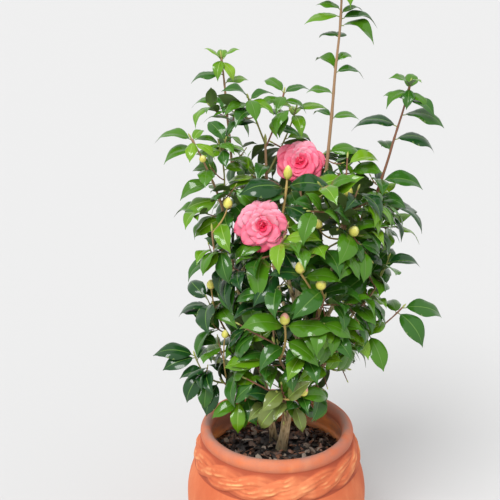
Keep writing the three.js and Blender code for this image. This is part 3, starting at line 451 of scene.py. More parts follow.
def gaps(ones, others):
    """The shortest distance of each straight stretch in "ones" to each in "others"."""
    first = (ones[:, 1] - ones[:, 0])[:, None]
    second = (others[:, 1] - others[:, 0])[None]
    between = ones[:, None, 0] - others[None, :, 0]
    a, e = (first * first).sum(2), (second * second).sum(2)
    b, c, f = (first * second).sum(2), (first * between).sum(2), (second * between).sum(2)
    spread = a * e - b * b
    skew = spread > 1e-9
    s = np.where(skew, np.clip((b * f - c * e) / np.where(skew, spread, 1), 0, 1), 0)
    t = (b * s + f) / e
    held = np.clip(t, 0, 1)
    s = np.where(held != t, np.clip((b * held - c) / a, 0, 1), s)
    return np.linalg.norm(between + first * s[..., None] - second * held[..., None], axis=2)


class Grown:
    """Everything grown so far, and the tests that what grows next has to pass."""

    MOST = 2500

    def __init__(self):
        self.leaves, self.twigs, self.buds, self.blooms, self.free = [], [], [], [], []
        self.edges = np.zeros((self.MOST, len(EDGES), 2, 3))
        self.faces = np.zeros((self.MOST, len(FACES), 3, 3))
        self.centres = np.zeros((self.MOST, 3))
        self.reaches = np.zeros(self.MOST)
        self.owners = np.zeros(self.MOST, int)
        self.lines = np.zeros((0, 2, 3))
        self.radii = np.zeros(0)
        self.carriers = np.zeros(0, int)

    def add_leaf(self, leaf):
        n = len(self.leaves)
        self.leaves.append(leaf)
        self.edges[n], self.faces[n], self.centres[n] = leaf.edges, leaf.faces, leaf.centre
        self.reaches[n], self.owners[n] = leaf.reach, id(leaf.mass)

    def keep_leaves(self, wanted):
        kept, self.leaves = [leaf for leaf in self.leaves if wanted(leaf)], []
        for leaf in kept:
            self.add_leaf(leaf)

    def add_stretch(self, start, end, radius, limb=None):
        self.lines = np.concatenate([self.lines, [[start, end]]])
        self.radii = np.append(self.radii, radius)
        self.carriers = np.append(self.carriers, limb.number if limb else -1)

    def add_limb(self, limb, count):
        for i in range(count):
            start, end = i / count, (i + 1) / count
            self.add_stretch(limb.point(start), limb.point(end), limb.radius(start), limb)

    def add_twig(self, twig, count=TWIG_STRETCHES):
        self.twigs.append(twig)
        self.add_limb(twig, count)

    def near_leaves(self, centre, reach):
        """The edges, faces and owners of the leaves within reach of a place."""
        n = len(self.leaves)
        away = np.linalg.norm(self.centres[:n] - np.array(centre), axis=1)
        near = away <= self.reaches[:n] + reach
        return self.edges[:n][near], self.faces[:n][near], self.owners[:n][near]

    def leaf_fits(self, leaf, ruled, apart):
        corners = leaf.corners[1:]
        if not all(map(clear_of_pot, corners)) or (apart == FINE_CLEARANCE and in_opening(leaf)):
            return False
        if ruled and max(map(crown_share, corners)) >= 1:
            return False
        if ruled and nearest_mass(leaf.centre) is not leaf.mass:
            return False
        return not (self.limb_met(leaf) or self.leaf_met(leaf, apart))

    def limb_met(self, leaf):
        halves = np.linalg.norm(self.lines[:, 1] - self.lines[:, 0], axis=1) / 2
        far = leaf.reach + halves + self.radii + LEAF_CLEARANCE
        near = np.linalg.norm(self.lines.mean(1) - np.array(leaf.centre), axis=1) <= far
        near &= self.carriers != leaf.carrier.number
        lines, clearance = self.lines[near], self.radii[near] + LIMB_CLEARANCE
        return passes(lines, leaf.faces, clearance[:, None]) or bool(
            (gaps(leaf.edges, lines) < clearance).any())

    def leaf_met(self, leaf, apart):
        """Leaves of one mass may touch but not cross; those of two masses keep apart."""
        edges, faces, owners = self.near_leaves(leaf.centre, leaf.reach)
        other = np.where(owners == id(leaf.mass), 0, apart)
        if passes(leaf.edges, faces.reshape(-1, 3, 3), np.repeat(other, len(FACES))):
            return True
        if passes(edges.reshape(-1, 2, 3), leaf.faces, np.repeat(other, len(EDGES))[:, None]):
            return True
        return bool((gaps(leaf.edges, edges[other > 0].reshape(-1, 2, 3)) < apart).any())

    def twig_fits(self, twig, carrier):
        if not clear_of_pot(twig.tip):
            return False
        line = np.array([[twig.point(TWIG_START), twig.point(1)]])
        others = self.carriers != carrier.number
        clearance = self.radii[others] + twig.radii[0] + LIMB_CLEARANCE
        if (gaps(line, self.lines[others])[0] < clearance).any():
            return False
        half = np.linalg.norm(line[0, 1] - line[0, 0]) / 2
        edges, faces, _ = self.near_leaves(line[0].mean(0), half + twig.radii[0] + 1 + LEAF_CLEARANCE)
        reach = twig.radii[0] + 1 + LIMB_CLEARANCE
        near = gaps(line, edges.reshape(-1, 2, 3)) < reach
        return not (near.any() or passes(line, faces.reshape(-1, 3, 3), reach))


def outline_at(height):
    """The crown's middle and its reach at a height."""
    heights, middles, reaches = zip(*CROWN_OUTLINE)
    return float(np.interp(height, heights, middles)), float(np.interp(height, heights, reaches))


def crown_share(point):
    """How far out in the crown a point is: 1 on the outline, more outside it."""
    if not CROWN_OUTLINE[0][0] <= point.z <= CROWN_OUTLINE[-1][0]:
        return 2
    middle, reach = outline_at(point.z)
    return math.hypot(point.x - middle, point.y) / reach


def clear_of_pot(point):
    in_mouth = math.hypot(point.x, point.y) < POT_MOUTH_RADIUS - MOUTH_CLEARANCE
    above_soil = in_mouth and point.z > SOIL_HEIGHT + SOIL_CLEARANCE
    return point.z > POT_HEIGHT + RIM_CLEARANCE or above_soil


def nearest_mass(point):
    away = np.linalg.norm(ruled_places - np.array(point), axis=2).min(1)
    return ruled_masses[int(away.argmin())]


def place_leaf(mass, carrier, row, apart):
    """A leaf of a named compass angle, rise and length, turned a little where it does not fit."""
    place, compass, rise, length = row
    for turn in NAMED_TURNS:
        leaf = Leaf(mass, carrier, place, toward_compass(compass, rise, turn), TO_THE_LIGHT, length)
        if grown.leaf_fits(leaf, False, apart):
            grown.add_leaf(leaf)
            return


def grow_leaves(mass, carrier, count, first, dice, size=1, apart=LEAF_CLEARANCE, ruled=True):
    """Leaves in a spiral along a twig; each that does not fit is turned, then skipped."""
    spin = dice() * FULL_TURN
    for i in range(count):
        place = within((first, LAST_LEAF), (i + 0.5) / count)
        length = LEAF_LENGTH * size * within(LEAF_SIZES, dice())
        droop = within(LEAF_DROOPS, dice())
        roll = within(LEAF_ROLLS, dice())
        spin += SPIRAL
        for turn in range(LEAF_TURNS):
            shorter = length * (1 - LEAF_SHRINK * turn)
            leaf = ruled_leaf(mass, carrier, place, spin + turn * LEAF_TURN, shorter, droop, roll)
            if grown.leaf_fits(leaf, ruled, apart):
                grown.add_leaf(leaf)
                break


def ruled_leaf(mass, carrier, place, spin, length, droop, roll):
    heading, base = carrier.heading(place), carrier.point(place)
    outward = Vector((base.x - outline_at(base.z)[0], base.y, 0)).normalized()
    first = square_to(heading, outward if abs(heading.z) > STEEP else UP)
    aside = first * math.cos(spin) + heading.cross(first) * math.sin(spin)
    along = (aside + heading * LEAF_FORWARD + outward * LEAF_OUTWARD - UP * droop).normalized()
    wish = UP + outward * FACE_OUTWARD + along.cross(UP) * roll
    return Leaf(mass, carrier, place, along, wish, length)


def twig_tips(height, angle, share):
    """The wished place of a twig's tip, and then places beside it."""
    for nudge in TWIG_NUDGES:
        level = height + nudge * NUDGE_HEIGHT
        middle, reach = outline_at(level)
        aside, turned = reach * share, angle + nudge
        yield Vector((middle + aside * math.cos(turned), aside * math.sin(turned), level))


def find_twig(height, angle, share, rule):
    """The first twig that fits, from the nearest place on the nearest mass, or None."""
    for tip in twig_tips(height, angle, share):
        mass = nearest_mass(tip)
        carriers = mass.carriers if rule is FINE_TWIGS else [mass.stem]
        feet = [((carrier.point(place) - tip).length, place, carrier)
                for carrier in carriers for place in rule.places]
        for distance, place, carrier in sorted(feet, key=lambda foot: foot[0]):
            if rule.reach[0] < distance < rule.reach[1]:
                twig = Limb(carrier.point(place), tip, radii=rule.radii)
                if grown.twig_fits(twig, carrier):
                    return mass, twig
    return None, None


def grow_twigs(rule):
    """Twigs reach for places spread evenly over the crown by a spiral that climbs it."""
    dice = make_dice(rule.seed)
    least, more, first = rule.leaves
    found = []
    for i in range(rule.count):
        height = within(rule.heights, (i + 0.5) / rule.count)
        share = within(rule.shares, dice())
        count = least + math.floor(more * dice())
        mass, twig = find_twig(height, i * SPIRAL, share, rule)
        if twig:
            found.append((mass, twig))
            grown.add_twig(twig)
            grow_leaves(mass, twig, count, first, dice, rule.size, rule.clearance)
    return dice, found


def keep_free(place, radius):
    """Keeps leaves that come later from standing between a place and the viewer."""
    toward = (VIEWER - place).normalized()
    start = place + toward * radius * FREE_FROM[1]
    grown.add_stretch(start, place + toward * FREE_LENGTH, radius)
    grown.free.append((place, radius))


def sighted(point, place):
    """How far a point lies ahead of a place toward the viewer, and how far beside that line."""
    toward = (VIEWER - place).normalized()
    ahead = (point - place).dot(toward)
    return ahead, (point - place - toward * ahead).length


def hides(leaf):
    """Whether a leaf stands before a bloom or a bud's stem, or in an opening of the crown."""
    for place, radius in grown.free:
        for corner in (leaf.centre, *leaf.corners[1:]):
            ahead, aside = sighted(corner, place)
            if radius * FREE_FROM[0] < ahead < FREE_LENGTH and aside < radius:
                return True
    return in_opening(leaf)


def in_opening(leaf):
    """Whether a leaf is seen in a place where the photo shows sky through the crown."""
    return any(sighted(leaf.centre, Vector((across, 0, height)))[1] < radius
               for across, height, radius in OPENINGS)


def grow_bud_shoot(mass, foot, tip, bend, radii, rows):
    """An upright shoot under a bud; leaves that stand where its own leaves go make way."""
    twig = Limb(mass.stem.point(foot), tip, bend, radii, bud=1)
    grown.add_twig(twig, BUD_SHOOT_STRETCHES)
    for other in masses:
        slender = [shoot for shoot in other.shoots
                   if shoot.bud and (shoot.tip - twig.tip).length < SAME_BUD]
        other.shoots = [shoot for shoot in other.shoots if shoot not in slender]
        other.carriers = [carrier for carrier in other.carriers if carrier not in slender]
    for place, compass, rise, length in rows:
        leaf = Leaf(mass, twig, place, toward_compass(compass, rise), TO_THE_LIGHT, length)
        grown.keep_leaves(lambda other: other.carrier is twig
                          or (other.centre - leaf.centre).length > MAKE_WAY)
        grown.add_leaf(leaf)


def grow_named_rows():
    """The side shoots, the shoots under the front buds, and the leaves at the tall shoots' tips."""
    dice = make_dice(SPRAY_SEED)
    named = {mass.name: mass for mass in masses}
    for name, carrier, place, tip, count, size in SPRAYS:
        twig = Limb(named[name].carriers[carrier].point(place), tip, SPRAY_BEND, FINE_TWIGS.radii)
        grown.add_twig(twig)
        grow_leaves(named[name], twig, count, SPRAY_FIRST, dice, size, FINE_CLEARANCE, False)
    for name, *row in BUD_SHOOTS:
        grow_bud_shoot(named[name], *row)
    for name, carrier, rows in TIP_LEAVES:
        for row in rows:
            place_leaf(named[name], named[name].carriers[carrier], row, FINE_CLEARANCE)


def grow_crown():
    """Everything that the rule grows, in the solids' order and then on from there."""
    dice, found = grow_twigs(CROWN_TWIGS)
    for mass in ruled_masses:
        grow_leaves(mass, mass.stem, *STEM_LEAVES, dice)
        for shoot in mass.shoots:
            if not shoot.leaves:
                grow_leaves(mass, shoot, *SHOOT_LEAVES, dice)
    for mass, base, facing, size in grown.blooms:
        keep_free(base + facing * BLOOM_DEPTH, BLOOM_RADIUS * BLOOM_FREE * size)
    for mass in masses:
        for shoot in mass.shoots:
            if shoot.bud and mass.name in FRONT_STEMS:
                for place in STEM_FREE_PLACES:
                    keep_free(shoot.point(place), STEM_FREE)
    grown.keep_leaves(lambda leaf: not hides(leaf))
    grow_named_rows()
    for mass, twig in found:
        mass.carriers.append(twig)
    grow_twigs(FINE_TWIGS)


def add_bloom(mass):
    facing, size = BLOOMS[mass.name]
    base, facing = mass.stem.tip, Vector(facing).normalized()
    grown.blooms.append((mass, base, facing, size))
    start, share = BLOOM_CLEARED
    near, far = base + facing * BLOOM_DEPTH * start, base + facing * SIGHT_LENGTH
    grown.add_stretch(near, far, BLOOM_RADIUS * share * size)


def add_bud(mass, shoot):
    base, radius = shoot.point(1), BUD_RADIUS * shoot.bud
    facing = shoot.heading(1).lerp(UP, 0.5).normalized()
    grown.buds.append((mass, base, facing, shoot.bud))
    tip = base + facing * BUD_LENGTH * shoot.bud
    middle = base + facing * BUD_LENGTH * shoot.bud / 2
    grown.add_stretch(base, tip, radius, shoot)
    grown.add_stretch(middle, middle + BUD_SIGHT * SIGHT_LENGTH / 2, radius, shoot)


grown = Grown()
limbs = {}
for name, parent, place, *row in LIMBS:
    foot = limbs[parent].point(place) if parent else place
    limbs[name] = Limb(foot, *row, 0 if parent else ROOT_FLARE)
masses = [Mass(*row) for row in MASSES]
ruled_masses = [mass for mass in masses if mass.ruled]
ruled_places = np.array([[mass.stem.point(t) for t in SPACE_PLACES] for mass in ruled_masses])

for limb in limbs.values():
    grown.add_limb(limb, LIMB_STRETCHES)
for mass in masses:
    grown.add_limb(mass.stem, LIMB_STRETCHES)
    for shoot in mass.shoots:
        grown.add_limb(shoot, SHOOT_STRETCHES)
for mass in masses:
    if mass.name in BLOOMS:
        add_bloom(mass)
    for shoot in mass.shoots:
        if shoot.bud:
            add_bud(mass, shoot)
for mass in masses:
    for carrier in mass.carriers:
        for row in carrier.leaves:
            place_leaf(mass, carrier, row, LEAF_CLEARANCE)
grow_crown()


# Materials: a plain finish, or a Paint of several coats
def make_finish(name, colour, roughness, **more):
    """A material of one plain colour."""
    material = bpy.data.materials.new(name)
    material.use_nodes = True
    shader = material.node_tree.nodes["Principled BSDF"]
    settings = {"Base Color": (*colour, 1), "Roughness": roughness, **more}
    for socket, value in settings.items():
        shader.inputs[socket].default_value = value
    return material


def make_finishes(rows, roughness, **more):
    return [make_finish(*row, roughness, **more) for row in rows]


class Paint:
    """A material whose colour is worked out by nodes, one coat over the other."""

    def __init__(self, name, colour, roughness):
        self.material = make_finish(name, colour, roughness)
        self.tree = self.material.node_tree
        self.place = self.node("TexCoord", {})["Object"]

    def node(self, kind, inputs, **settings):
        """Adds a node and gives its outputs; each input is a socket or a plain value."""
        node = self.tree.nodes.new("ShaderNode" + kind)
        for name, value in settings.items():
            setattr(node, name, value)
        for name, value in inputs.items():
            self.fill(node.inputs[name], value)
        return node.outputs

    def fill(self, socket, value):
        if isinstance(value, bpy.types.NodeSocket):
            self.tree.links.new(value, socket)
        else:
            socket.default_value = value

    def noise(self, scale, detail):
        place = self.node("Mapping", {"Vector": self.place, "Scale": scale})["Vector"]
        return self.node("TexNoise", {"Vector": place, "Scale": 1, "Detail": detail})["Fac"]

    def field(self, name):
        return self.node("Attribute", {}, attribute_name=name)["Fac"]

    def times(self, first, second):
        return self.node("Math", {0: first, 1: second}, operation="MULTIPLY")[0]

    def share(self, source, low, high, amount=1):
        """A number brought from its range between low and high to that from 0 to the amount."""
        limits = {"Value": source, "From Min": low, "From Max": high}
        share = self.node("MapRange", limits)["Result"]
        return share if amount == 1 else self.times(share, amount)

    def mixed(self, factor, first, second):
        mix = self.tree.nodes.new("ShaderNodeMix")
        mix.data_type = "RGBA"
        sockets = [socket for socket in mix.inputs if socket.enabled]
        for socket, value in zip(sockets, (factor, first, second)):
            self.fill(socket, (*value, 1) if isinstance(value, tuple) else value)
        return [socket for socket in mix.outputs if socket.enabled][0]

    def coat(self, colour, factor):
        self.colour = self.mixed(factor, self.colour, colour)

    def finished(self, relief, strength, distance):
        """The material with its last coat, and with a fine relief."""
        shader = self.tree.nodes["Principled BSDF"]
        bump = {"Height": relief, "Strength": strength, "Distance": distance}
        self.fill(shader.inputs["Base Color"], self.colour)
        self.fill(shader.inputs["Normal"], self.node("Bump", bump)["Normal"])
        return self.material


# Meshes: points and faces are gathered in a Shell, and each face has the number of its finish
def show(name, data):
    shown = bpy.data.objects.new(name, data)
    bpy.context.scene.collection.objects.link(shown)
    return shown


class Shell:
    def __init__(self, name, finishes, slot, stands_for=()):
        self.name, self.finishes, self.slot, self.stands_for = name, finishes, slot, stands_for
        self.points, self.faces, self.numbers, self.fields = [], [], [], {}
        self.count = 0

    def add(self, points, faces, finish, **fields):
        """Takes points, faces that count from the first of them, and a finish for all or each."""
        points = np.asarray(points, float).reshape(-1, 3)
        self.points.append(points)
        self.faces += [[corner + self.count for corner in face] for face in faces]
        self.numbers.append(np.broadcast_to(finish, len(faces)))
        self.count += len(points)
        for field, values in fields.items():
            self.fields.setdefault(field, []).append(values)

    def build(self, sharp_from=60):
        mesh = bpy.data.meshes.new(self.name)
        mesh.from_pydata((np.concatenate(self.points) * MM).tolist(), [], self.faces)
        for finish in self.finishes:
            mesh.materials.append(finish)
        numbers = np.concatenate(self.numbers).astype(np.int32)
        mesh.polygons.foreach_set("material_index", numbers)
        for field, values in self.fields.items():
            attribute = mesh.attributes.new(field, "FLOAT", "POINT")
            attribute.data.foreach_set("value", np.concatenate(values))
        mesh.shade_smooth()
        mesh.set_sharp_from_angle(angle=math.radians(sharp_from))
        piece = show(self.name, mesh)
        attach(piece, "root")
        if self.stands_for:
            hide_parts(*self.stands_for)


def angles_round(count):
    return np.arange(count) / count * FULL_TURN


def grid_quads(grid):
    corners = [grid[:-1, :-1], grid[:-1, 1:], grid[1:, 1:], grid[1:, :-1]]
    return np.stack(corners, axis=-1).reshape(-1, 4)


@functools.cache
def sheet_faces(rows, columns):
    """The faces of a thin closed sheet: an upper grid, and a lower grid that shares its border."""
    upper = np.arange(rows * columns).reshape(rows, columns)
    lower = upper.copy()
    inner = (rows - 2, columns - 2)
    lower[1:-1, 1:-1] = rows * columns + np.arange(inner[0] * inner[1]).reshape(inner)
    return np.concatenate([grid_quads(upper), grid_quads(lower)[:, ::-1]]).tolist()


def sheet_points(upper, lower):
    return np.concatenate([upper.reshape(-1, 3), lower[1:-1, 1:-1].reshape(-1, 3)])


@functools.cache
def tube_faces(rings, sides):
    around = np.arange(rings * sides).reshape(rings, sides)
    around = np.concatenate([around, around[:, :1]], axis=1)
    ends = [list(range(sides))[::-1], list(range((rings - 1) * sides, rings * sides))]
    return grid_quads(around).tolist() + ends


def tube_points(path, radii, sides):
    """Rings round a path; radii has one number for each ring, or one row of numbers each."""
    path, radii = np.asarray(path, float), np.asarray(radii, float)
    radii = radii if radii.ndim == 2 else radii[:, None]
    headings = np.gradient(path, axis=0)
    headings /= np.linalg.norm(headings, axis=1)[:, None]
    side = np.array((1, 0, 0) if abs(headings[0][0]) < 0.8 else (0, 1, 0), float)
    angles = angles_round(sides)
    rings = []
    for place, heading, radius in zip(path, headings, radii):
        side = side - heading * side.dot(heading)
        side /= np.linalg.norm(side)
        other = np.cross(heading, side)
        circle = np.cos(angles)[:, None] * side + np.sin(angles)[:, None] * other
        rings.append(place + circle * radius[..., None])
    return np.array(rings)


def add_tube(shell, path, radii, sides, finish):
    shell.add(tube_points(path, radii, sides), tube_faces(len(path), sides), finish)


# The whole plant is bent a little by one smooth field, so that what is joined stays joined
SWAY_SCALE = 0.011
SWAY = 2.6
SWAY_RISE = 90
SWAY_SHIFTS = (Vector((0, 0, 0)), Vector((31, 0, 7)), Vector((0, 57, 13)))


def swayed(point):
    fall = min(1, max(0, (point[2] - GROUND) / SWAY_RISE))
    place = Vector(point) * SWAY_SCALE
    sway = Vector([noise.noise(place + shift) for shift in SWAY_SHIFTS])
    return Vector(point) + sway * SWAY * fall


def path_of(limb, rings):
    return [swayed(limb.point(t)) for t in np.linspace(0, 1, rings)]


def drawn(spans, chance):
    """A shape whose named values are drawn from their spans, in the order of the table."""
    return SimpleNamespace(**{name: chance.uniform(*span) for name, span in spans.items()})


# Leaves
LEAF_ROWS = 15
LEAF_COLUMNS = np.array((-1, -0.72, -0.4, -0.045, 0.045, 0.4, 0.72, 1))
LEAF_SHAPE = {
    "width": (0.48, 0.57), "fold": (0.12, 0.6), "curl": (0.1, 0.55), "arch": (0.8, 1.7),
    "droop": (0.6, 3), "wave": (0.04, 0.17), "phase": (0, FULL_TURN), "twist": (-0.6, 0.6),
    "bend": (-0.08, 0.08),
}
BLADE_THICKNESS = 0.7
BLADE_LEAST = 0.35
RIB_WITHIN = 0.2
QUILTED_WITHIN = 0.9
QUILTING = 0.22
GROOVE_DEPTH = 0.45
KEEL_DEPTH = 0.5
STALK_SHARE = 0.085
STALK_OVERLAP = 1.25
STALK_BELOW = 0.3
STALK_RADII = (1.25, 0.85)
STALK_RINGS = 4
STALK_SIDES = 5
LEAF_GROUPS = (("leaves_top", 795, 2000), ("leaves_middle", 610, 795), ("leaves_low", 0, 610))
LEAF_SEED = 11
LEAF_ROUGHNESS = 0.34
LEAF_GLOSS = {"Coat Weight": 0.7, "Coat Roughness": 0.1, "Specular IOR Level": 0.1}
LEAF_GREENS = (
    ("leaf_deep", (0.010, 0.055, 0.010)),
    ("leaf_dark", (0.026, 0.108, 0.008)),
    ("leaf_green", (0.058, 0.176, 0.006)),
    ("leaf_fresh", (0.105, 0.252, 0.006)),
    ("leaf_bright", (0.158, 0.320, 0.010)),
    ("leaf_young", (0.205, 0.375, 0.020)),
    ("leaf_olive", (0.150, 0.195, 0.045)),
)
LEAF_PARTS = (
    ("leaf_rib_dark", (0.090, 0.200, 0.025), 0.4),
    ("leaf_rib_light", (0.240, 0.390, 0.060), 0.4),
    ("leaf_underside", (0.095, 0.165, 0.035), 0.55),
    ("leaf_underside_young", (0.190, 0.300, 0.050), 0.5),
    ("leaf_stalk", (0.220, 0.270, 0.055), 0.45),
)
FRESH, BRIGHT, YOUNGEST, OLIVE = range(3, 7)
RIB_DARK, RIB_LIGHT, UNDER, UNDER_YOUNG, STALK = range(7, 12)

# Tones count along the greens: the middle one and its spread, and what shifts it
TONE_MIDDLE = 2.0
TONE_SPREAD = 0.75
# Painted shade: leaves deep inside the crown and low in it are given darker greens
SHADED_WITHIN = 0.75
SHADE = 1.5
TIP_FROM = 0.8
TIP_LENGTH = 56
TIP_SHIFT = 0.7
RIGHT_SHIFT = -1.2
TALL_FROM = 930
TALL_SHIFT = 0.4
LOW_BELOW = 720
LOW_SHADE = -0.3
LEFT_SHADE = -1.1
LEFT_FALL = 80
OLIVE_BELOW = 470
OLIVE_SHARE = 0.28

# High on the tall shoots a blade lies more level than its solid
LEVEL_FROM = 900
LEVELLED = 0.9


def blade_half_width(share):
    """Half the blade's width against its widest, from its foot to its long drawn-out tip."""
    width = 3.486 * share**0.75 * (1 - share)**1.1
    return width * (1 - 0.45 * ramp(share, 0.78, 0.22))


def midline_rise(s, length):
    return length * (0.405 * s - 0.455 * s * s)


def blade_grids(length, chance):
    """The upper and lower grid of a leaf's blade, with x across, y along and z up."""
    shape = drawn(LEAF_SHAPE, chance)
    u = np.linspace(0, 1, LEAF_ROWS)[:, None]
    v = LEAF_COLUMNS[None]
    aside = np.abs(v)
    half = np.maximum(blade_half_width(u) * (length * shape.width) / 2, BLADE_LEAST)
    slant = 0.055 * aside * np.sin(math.pi * u)
    s = np.minimum(STALK_SHARE + (1 - STALK_SHARE) * (u + slant), 1)
    tip_fall = length * 0.06 * shape.droop * ramp(s, 0.68, 0.32)**2
    midline = midline_rise(s, length) * shape.arch - tip_fall
    across = half * v * (1 - 0.12 * shape.fold * aside)
    rise = half * (shape.fold * aside - shape.curl * aside**2.2)
    rise = rise + half * shape.wave * np.sin(shape.phase + 10 * u + (v > 0)) * v * v
    turn = shape.twist * (s - 0.4)
    x = across * np.cos(turn) - rise * np.sin(turn) + length * shape.bend * s * s
    y = s * length + 0 * x
    z = across * np.sin(turn) + rise * np.cos(turn) + midline
    odd_row = np.where(np.arange(LEAF_ROWS)[:, None] % 2, 1, -1)
    quilt = QUILTING * odd_row * (aside > RIB_WITHIN) * (aside < QUILTED_WITHIN)
    groove = -GROOVE_DEPTH * (aside < RIB_WITHIN) * np.sin(math.pi * np.clip(u * 1.1, 0, 1))
    keel = -KEEL_DEPTH * (aside < RIB_WITHIN) * (1 - u)
    upper = np.stack([x, y, z + BLADE_THICKNESS / 2 + quilt + groove], axis=-1)
    lower = np.stack([x, y, z - BLADE_THICKNESS / 2 + quilt + keel], axis=-1)
    return upper, lower


def to_leaf_frame(leaf, points):
    level = square_to(leaf.along, leaf.up + UP * LEVELLED)
    up = level if leaf.base.z > LEVEL_FROM else leaf.up
    return np.array(swayed(leaf.base)) + points @ np.array((leaf.along.cross(up), leaf.along, up))


def leaf_tone(leaf, sprays, chance):
    """Which green a leaf has: its spray's own, lighter at tips, and darker by painted shade inside the
    crown and low down, most on the left.
    """
    tone = sprays.setdefault(leaf.carrier.number, chance.gauss(TONE_MIDDLE, TONE_SPREAD))
    tone += chance.gauss(0, TONE_SPREAD)
    # Painted shade: darker greens deeper inside the crown
    tone -= SHADE * max(0, SHADED_WITHIN - crown_share(leaf.centre))
    if leaf.place > TIP_FROM and leaf.length < TIP_LENGTH:
        tone += TIP_SHIFT
    if leaf.mass.name == "right_leader":
        tone += RIGHT_SHIFT
    elif leaf.base.z > TALL_FROM:
        tone += TALL_SHIFT
    # Painted shade: darker greens low in the crown, most on the left
    if leaf.base.z < LOW_BELOW:
        tone += max(LEFT_SHADE, min(0, leaf.base.x / LEFT_FALL)) + LOW_SHADE
    if leaf.base.z < OLIVE_BELOW and chance.random() < OLIVE_SHARE:
        return OLIVE
    return int(min(YOUNGEST, max(0, round(tone))))


def add_leaf_mesh(shell, leaf, tone, chance):
    upper, lower = blade_grids(leaf.length, chance)
    points = to_leaf_frame(leaf, sheet_points(upper, lower))
    strips = len(LEAF_COLUMNS) - 1
    top = np.full((LEAF_ROWS - 1, strips), tone)
    top[:-1, strips // 2] = RIB_DARK if tone < FRESH else RIB_LIGHT
    under = np.full_like(top, UNDER if tone < BRIGHT else UNDER_YOUNG)
    finishes = np.concatenate([top.ravel(), under.ravel()])
    shell.add(points, sheet_faces(LEAF_ROWS, len(LEAF_COLUMNS)), finishes)
    s = np.linspace(-LEAF_SUNK / leaf.length, STALK_SHARE * STALK_OVERLAP, STALK_RINGS)
    height = midline_rise(s, leaf.length) - STALK_BELOW
    stalk = np.stack([0 * s, s * leaf.length, height], axis=-1)
    radii = np.linspace(*STALK_RADII, STALK_RINGS)
    add_tube(shell, to_leaf_frame(leaf, stalk), radii, STALK_SIDES, STALK)


def build_leaves():
    chance = random.Random(LEAF_SEED)
    finishes = make_finishes(LEAF_GREENS, LEAF_ROUGHNESS, **LEAF_GLOSS)
    finishes += [make_finish(*row) for row in LEAF_PARTS]
    tones = {}
    for name, lowest, highest in LEAF_GROUPS:
        members = [mass for mass in masses if lowest <= mass.stem.tip.z < highest]
        shell = Shell(name, finishes, "leaf", [mass.name for mass in members])
        for leaf in grown.leaves:
            if leaf.mass in members:
                add_leaf_mesh(shell, leaf, leaf_tone(leaf, tones, chance), chance)
        shell.build()


# Twigs
TWIG_FINISHES = (
    ("twig_tan", (0.360, 0.210, 0.110)),
    ("twig_red_brown", (0.235, 0.100, 0.055)),
    ("twig_green", (0.240, 0.240, 0.070)),
    ("twig_bud", (0.420, 0.450, 0.110)),
    ("twig_gold", (0.430, 0.290, 0.090)),
)
TAN, RED_BROWN, GREEN, TIP_BUD, GOLD = range(5)
TWIG_ROUGHNESS = 0.6
TWIG_SEED = 5
# Rings and sides of each kind
STEM_MESH = (26, 8)
SHOOT_MESH = (14, 7)
BUD_SHOOT_MESH = (26, 9)
TWIG_MESH = (9, 6)
KNOT_SWELLING = 0.28
KNOT_LENGTH = 3.5
TIP_BUD_STEPS = np.array((-1, 1.2, 3.6, 6.4, 8.4))
TIP_BUD_REACHES = np.array((0.9, 1.25, 1.45, 0.95, 0.12))
TIP_BUD_SIDES = 6


def add_twig(shell, limb, rings_sides, finish, tip_bud=True):
    """A twig with a small swelling at every leaf, and a pointed bud at its tip."""
    rings, sides = rings_sides
    t = np.linspace(0, 1, rings)
    radii = np.array([limb.radius(place) for place in t])
    for place in knots.get(limb.number, ()):
        radii *= 1 + KNOT_SWELLING * np.exp(-((t - place) * limb.length() / KNOT_LENGTH)**2)
    add_tube(shell, path_of(limb, rings), radii, sides, finish)
    if tip_bud and not limb.bud:
        size, base, heading = limb.radius(1), swayed(limb.tip), limb.heading(1)
        path = [base + heading * step for step in TIP_BUD_STEPS * size]
        add_tube(shell, path, TIP_BUD_REACHES * size, TIP_BUD_SIDES, TIP_BUD)


def build_twigs():
    chance = random.Random(TWIG_SEED)
    shell = Shell("twigs", make_finishes(TWIG_FINISHES, TWIG_ROUGHNESS), "twig")
    for mass in masses:
        finish = RED_BROWN if mass.name == "right_leader" else TAN
        add_twig(shell, mass.stem, STEM_MESH, finish, mass.name not in BLOOMS)
        for shoot in mass.shoots:
            finish = chance.choice((TAN, RED_BROWN, GREEN))
            add_twig(shell, shoot, SHOOT_MESH, GOLD if shoot.bud else finish)
    for twig in grown.twigs:
        finish = chance.choice((TAN, RED_BROWN, RED_BROWN, GREEN))
        mesh, finish = (BUD_SHOOT_MESH, GOLD) if twig.bud else (TWIG_MESH, finish)
        add_twig(shell, twig, mesh, finish)
    shell.build()


# Trunks and boughs: rings, sides and the swelling at the foot of each kind
LIMB_KINDS = {"trunk": (130, 26, 0), "bough": (46, 14, 0.35)}
COLLAR_LENGTH = 9
JOINT_SWELLING = 0.14
JOINT_LENGTH = 8
FULL_RELIEF_FROM = 8
STREAKS = (0.32, 0.035, 9, 0.75)
FLECKS = (0.9, 0.25, 5, 0.35)
# Bark tones: real flecks, with their dark and pale ends pushed further as painted shade and painted
# highlight
BARK_TONES_AND_PAINTED_LIGHT = ((0.34, (0.16, 0.11, 0.055)), (0.5, (0.68, 0.51, 0.26)), (0.66, (0.97, 0.81, 0.50)))
SOILED_HEIGHTS = (0.300, 0.256)


def bark_relief(limb, radius, angle, along):
    """How far the bark stands out. Streaks and flecks each have two scales, a shift and a depth."""
    x, y = math.cos(angle) * radius, math.sin(angle) * radius
    relief = 0
    for scale, scale_along, shift, depth in (STREAKS, FLECKS):
        place = Vector((x * scale, y * scale, along * scale_along + limb.number * shift))
        relief += depth * noise.noise(place)
    return relief


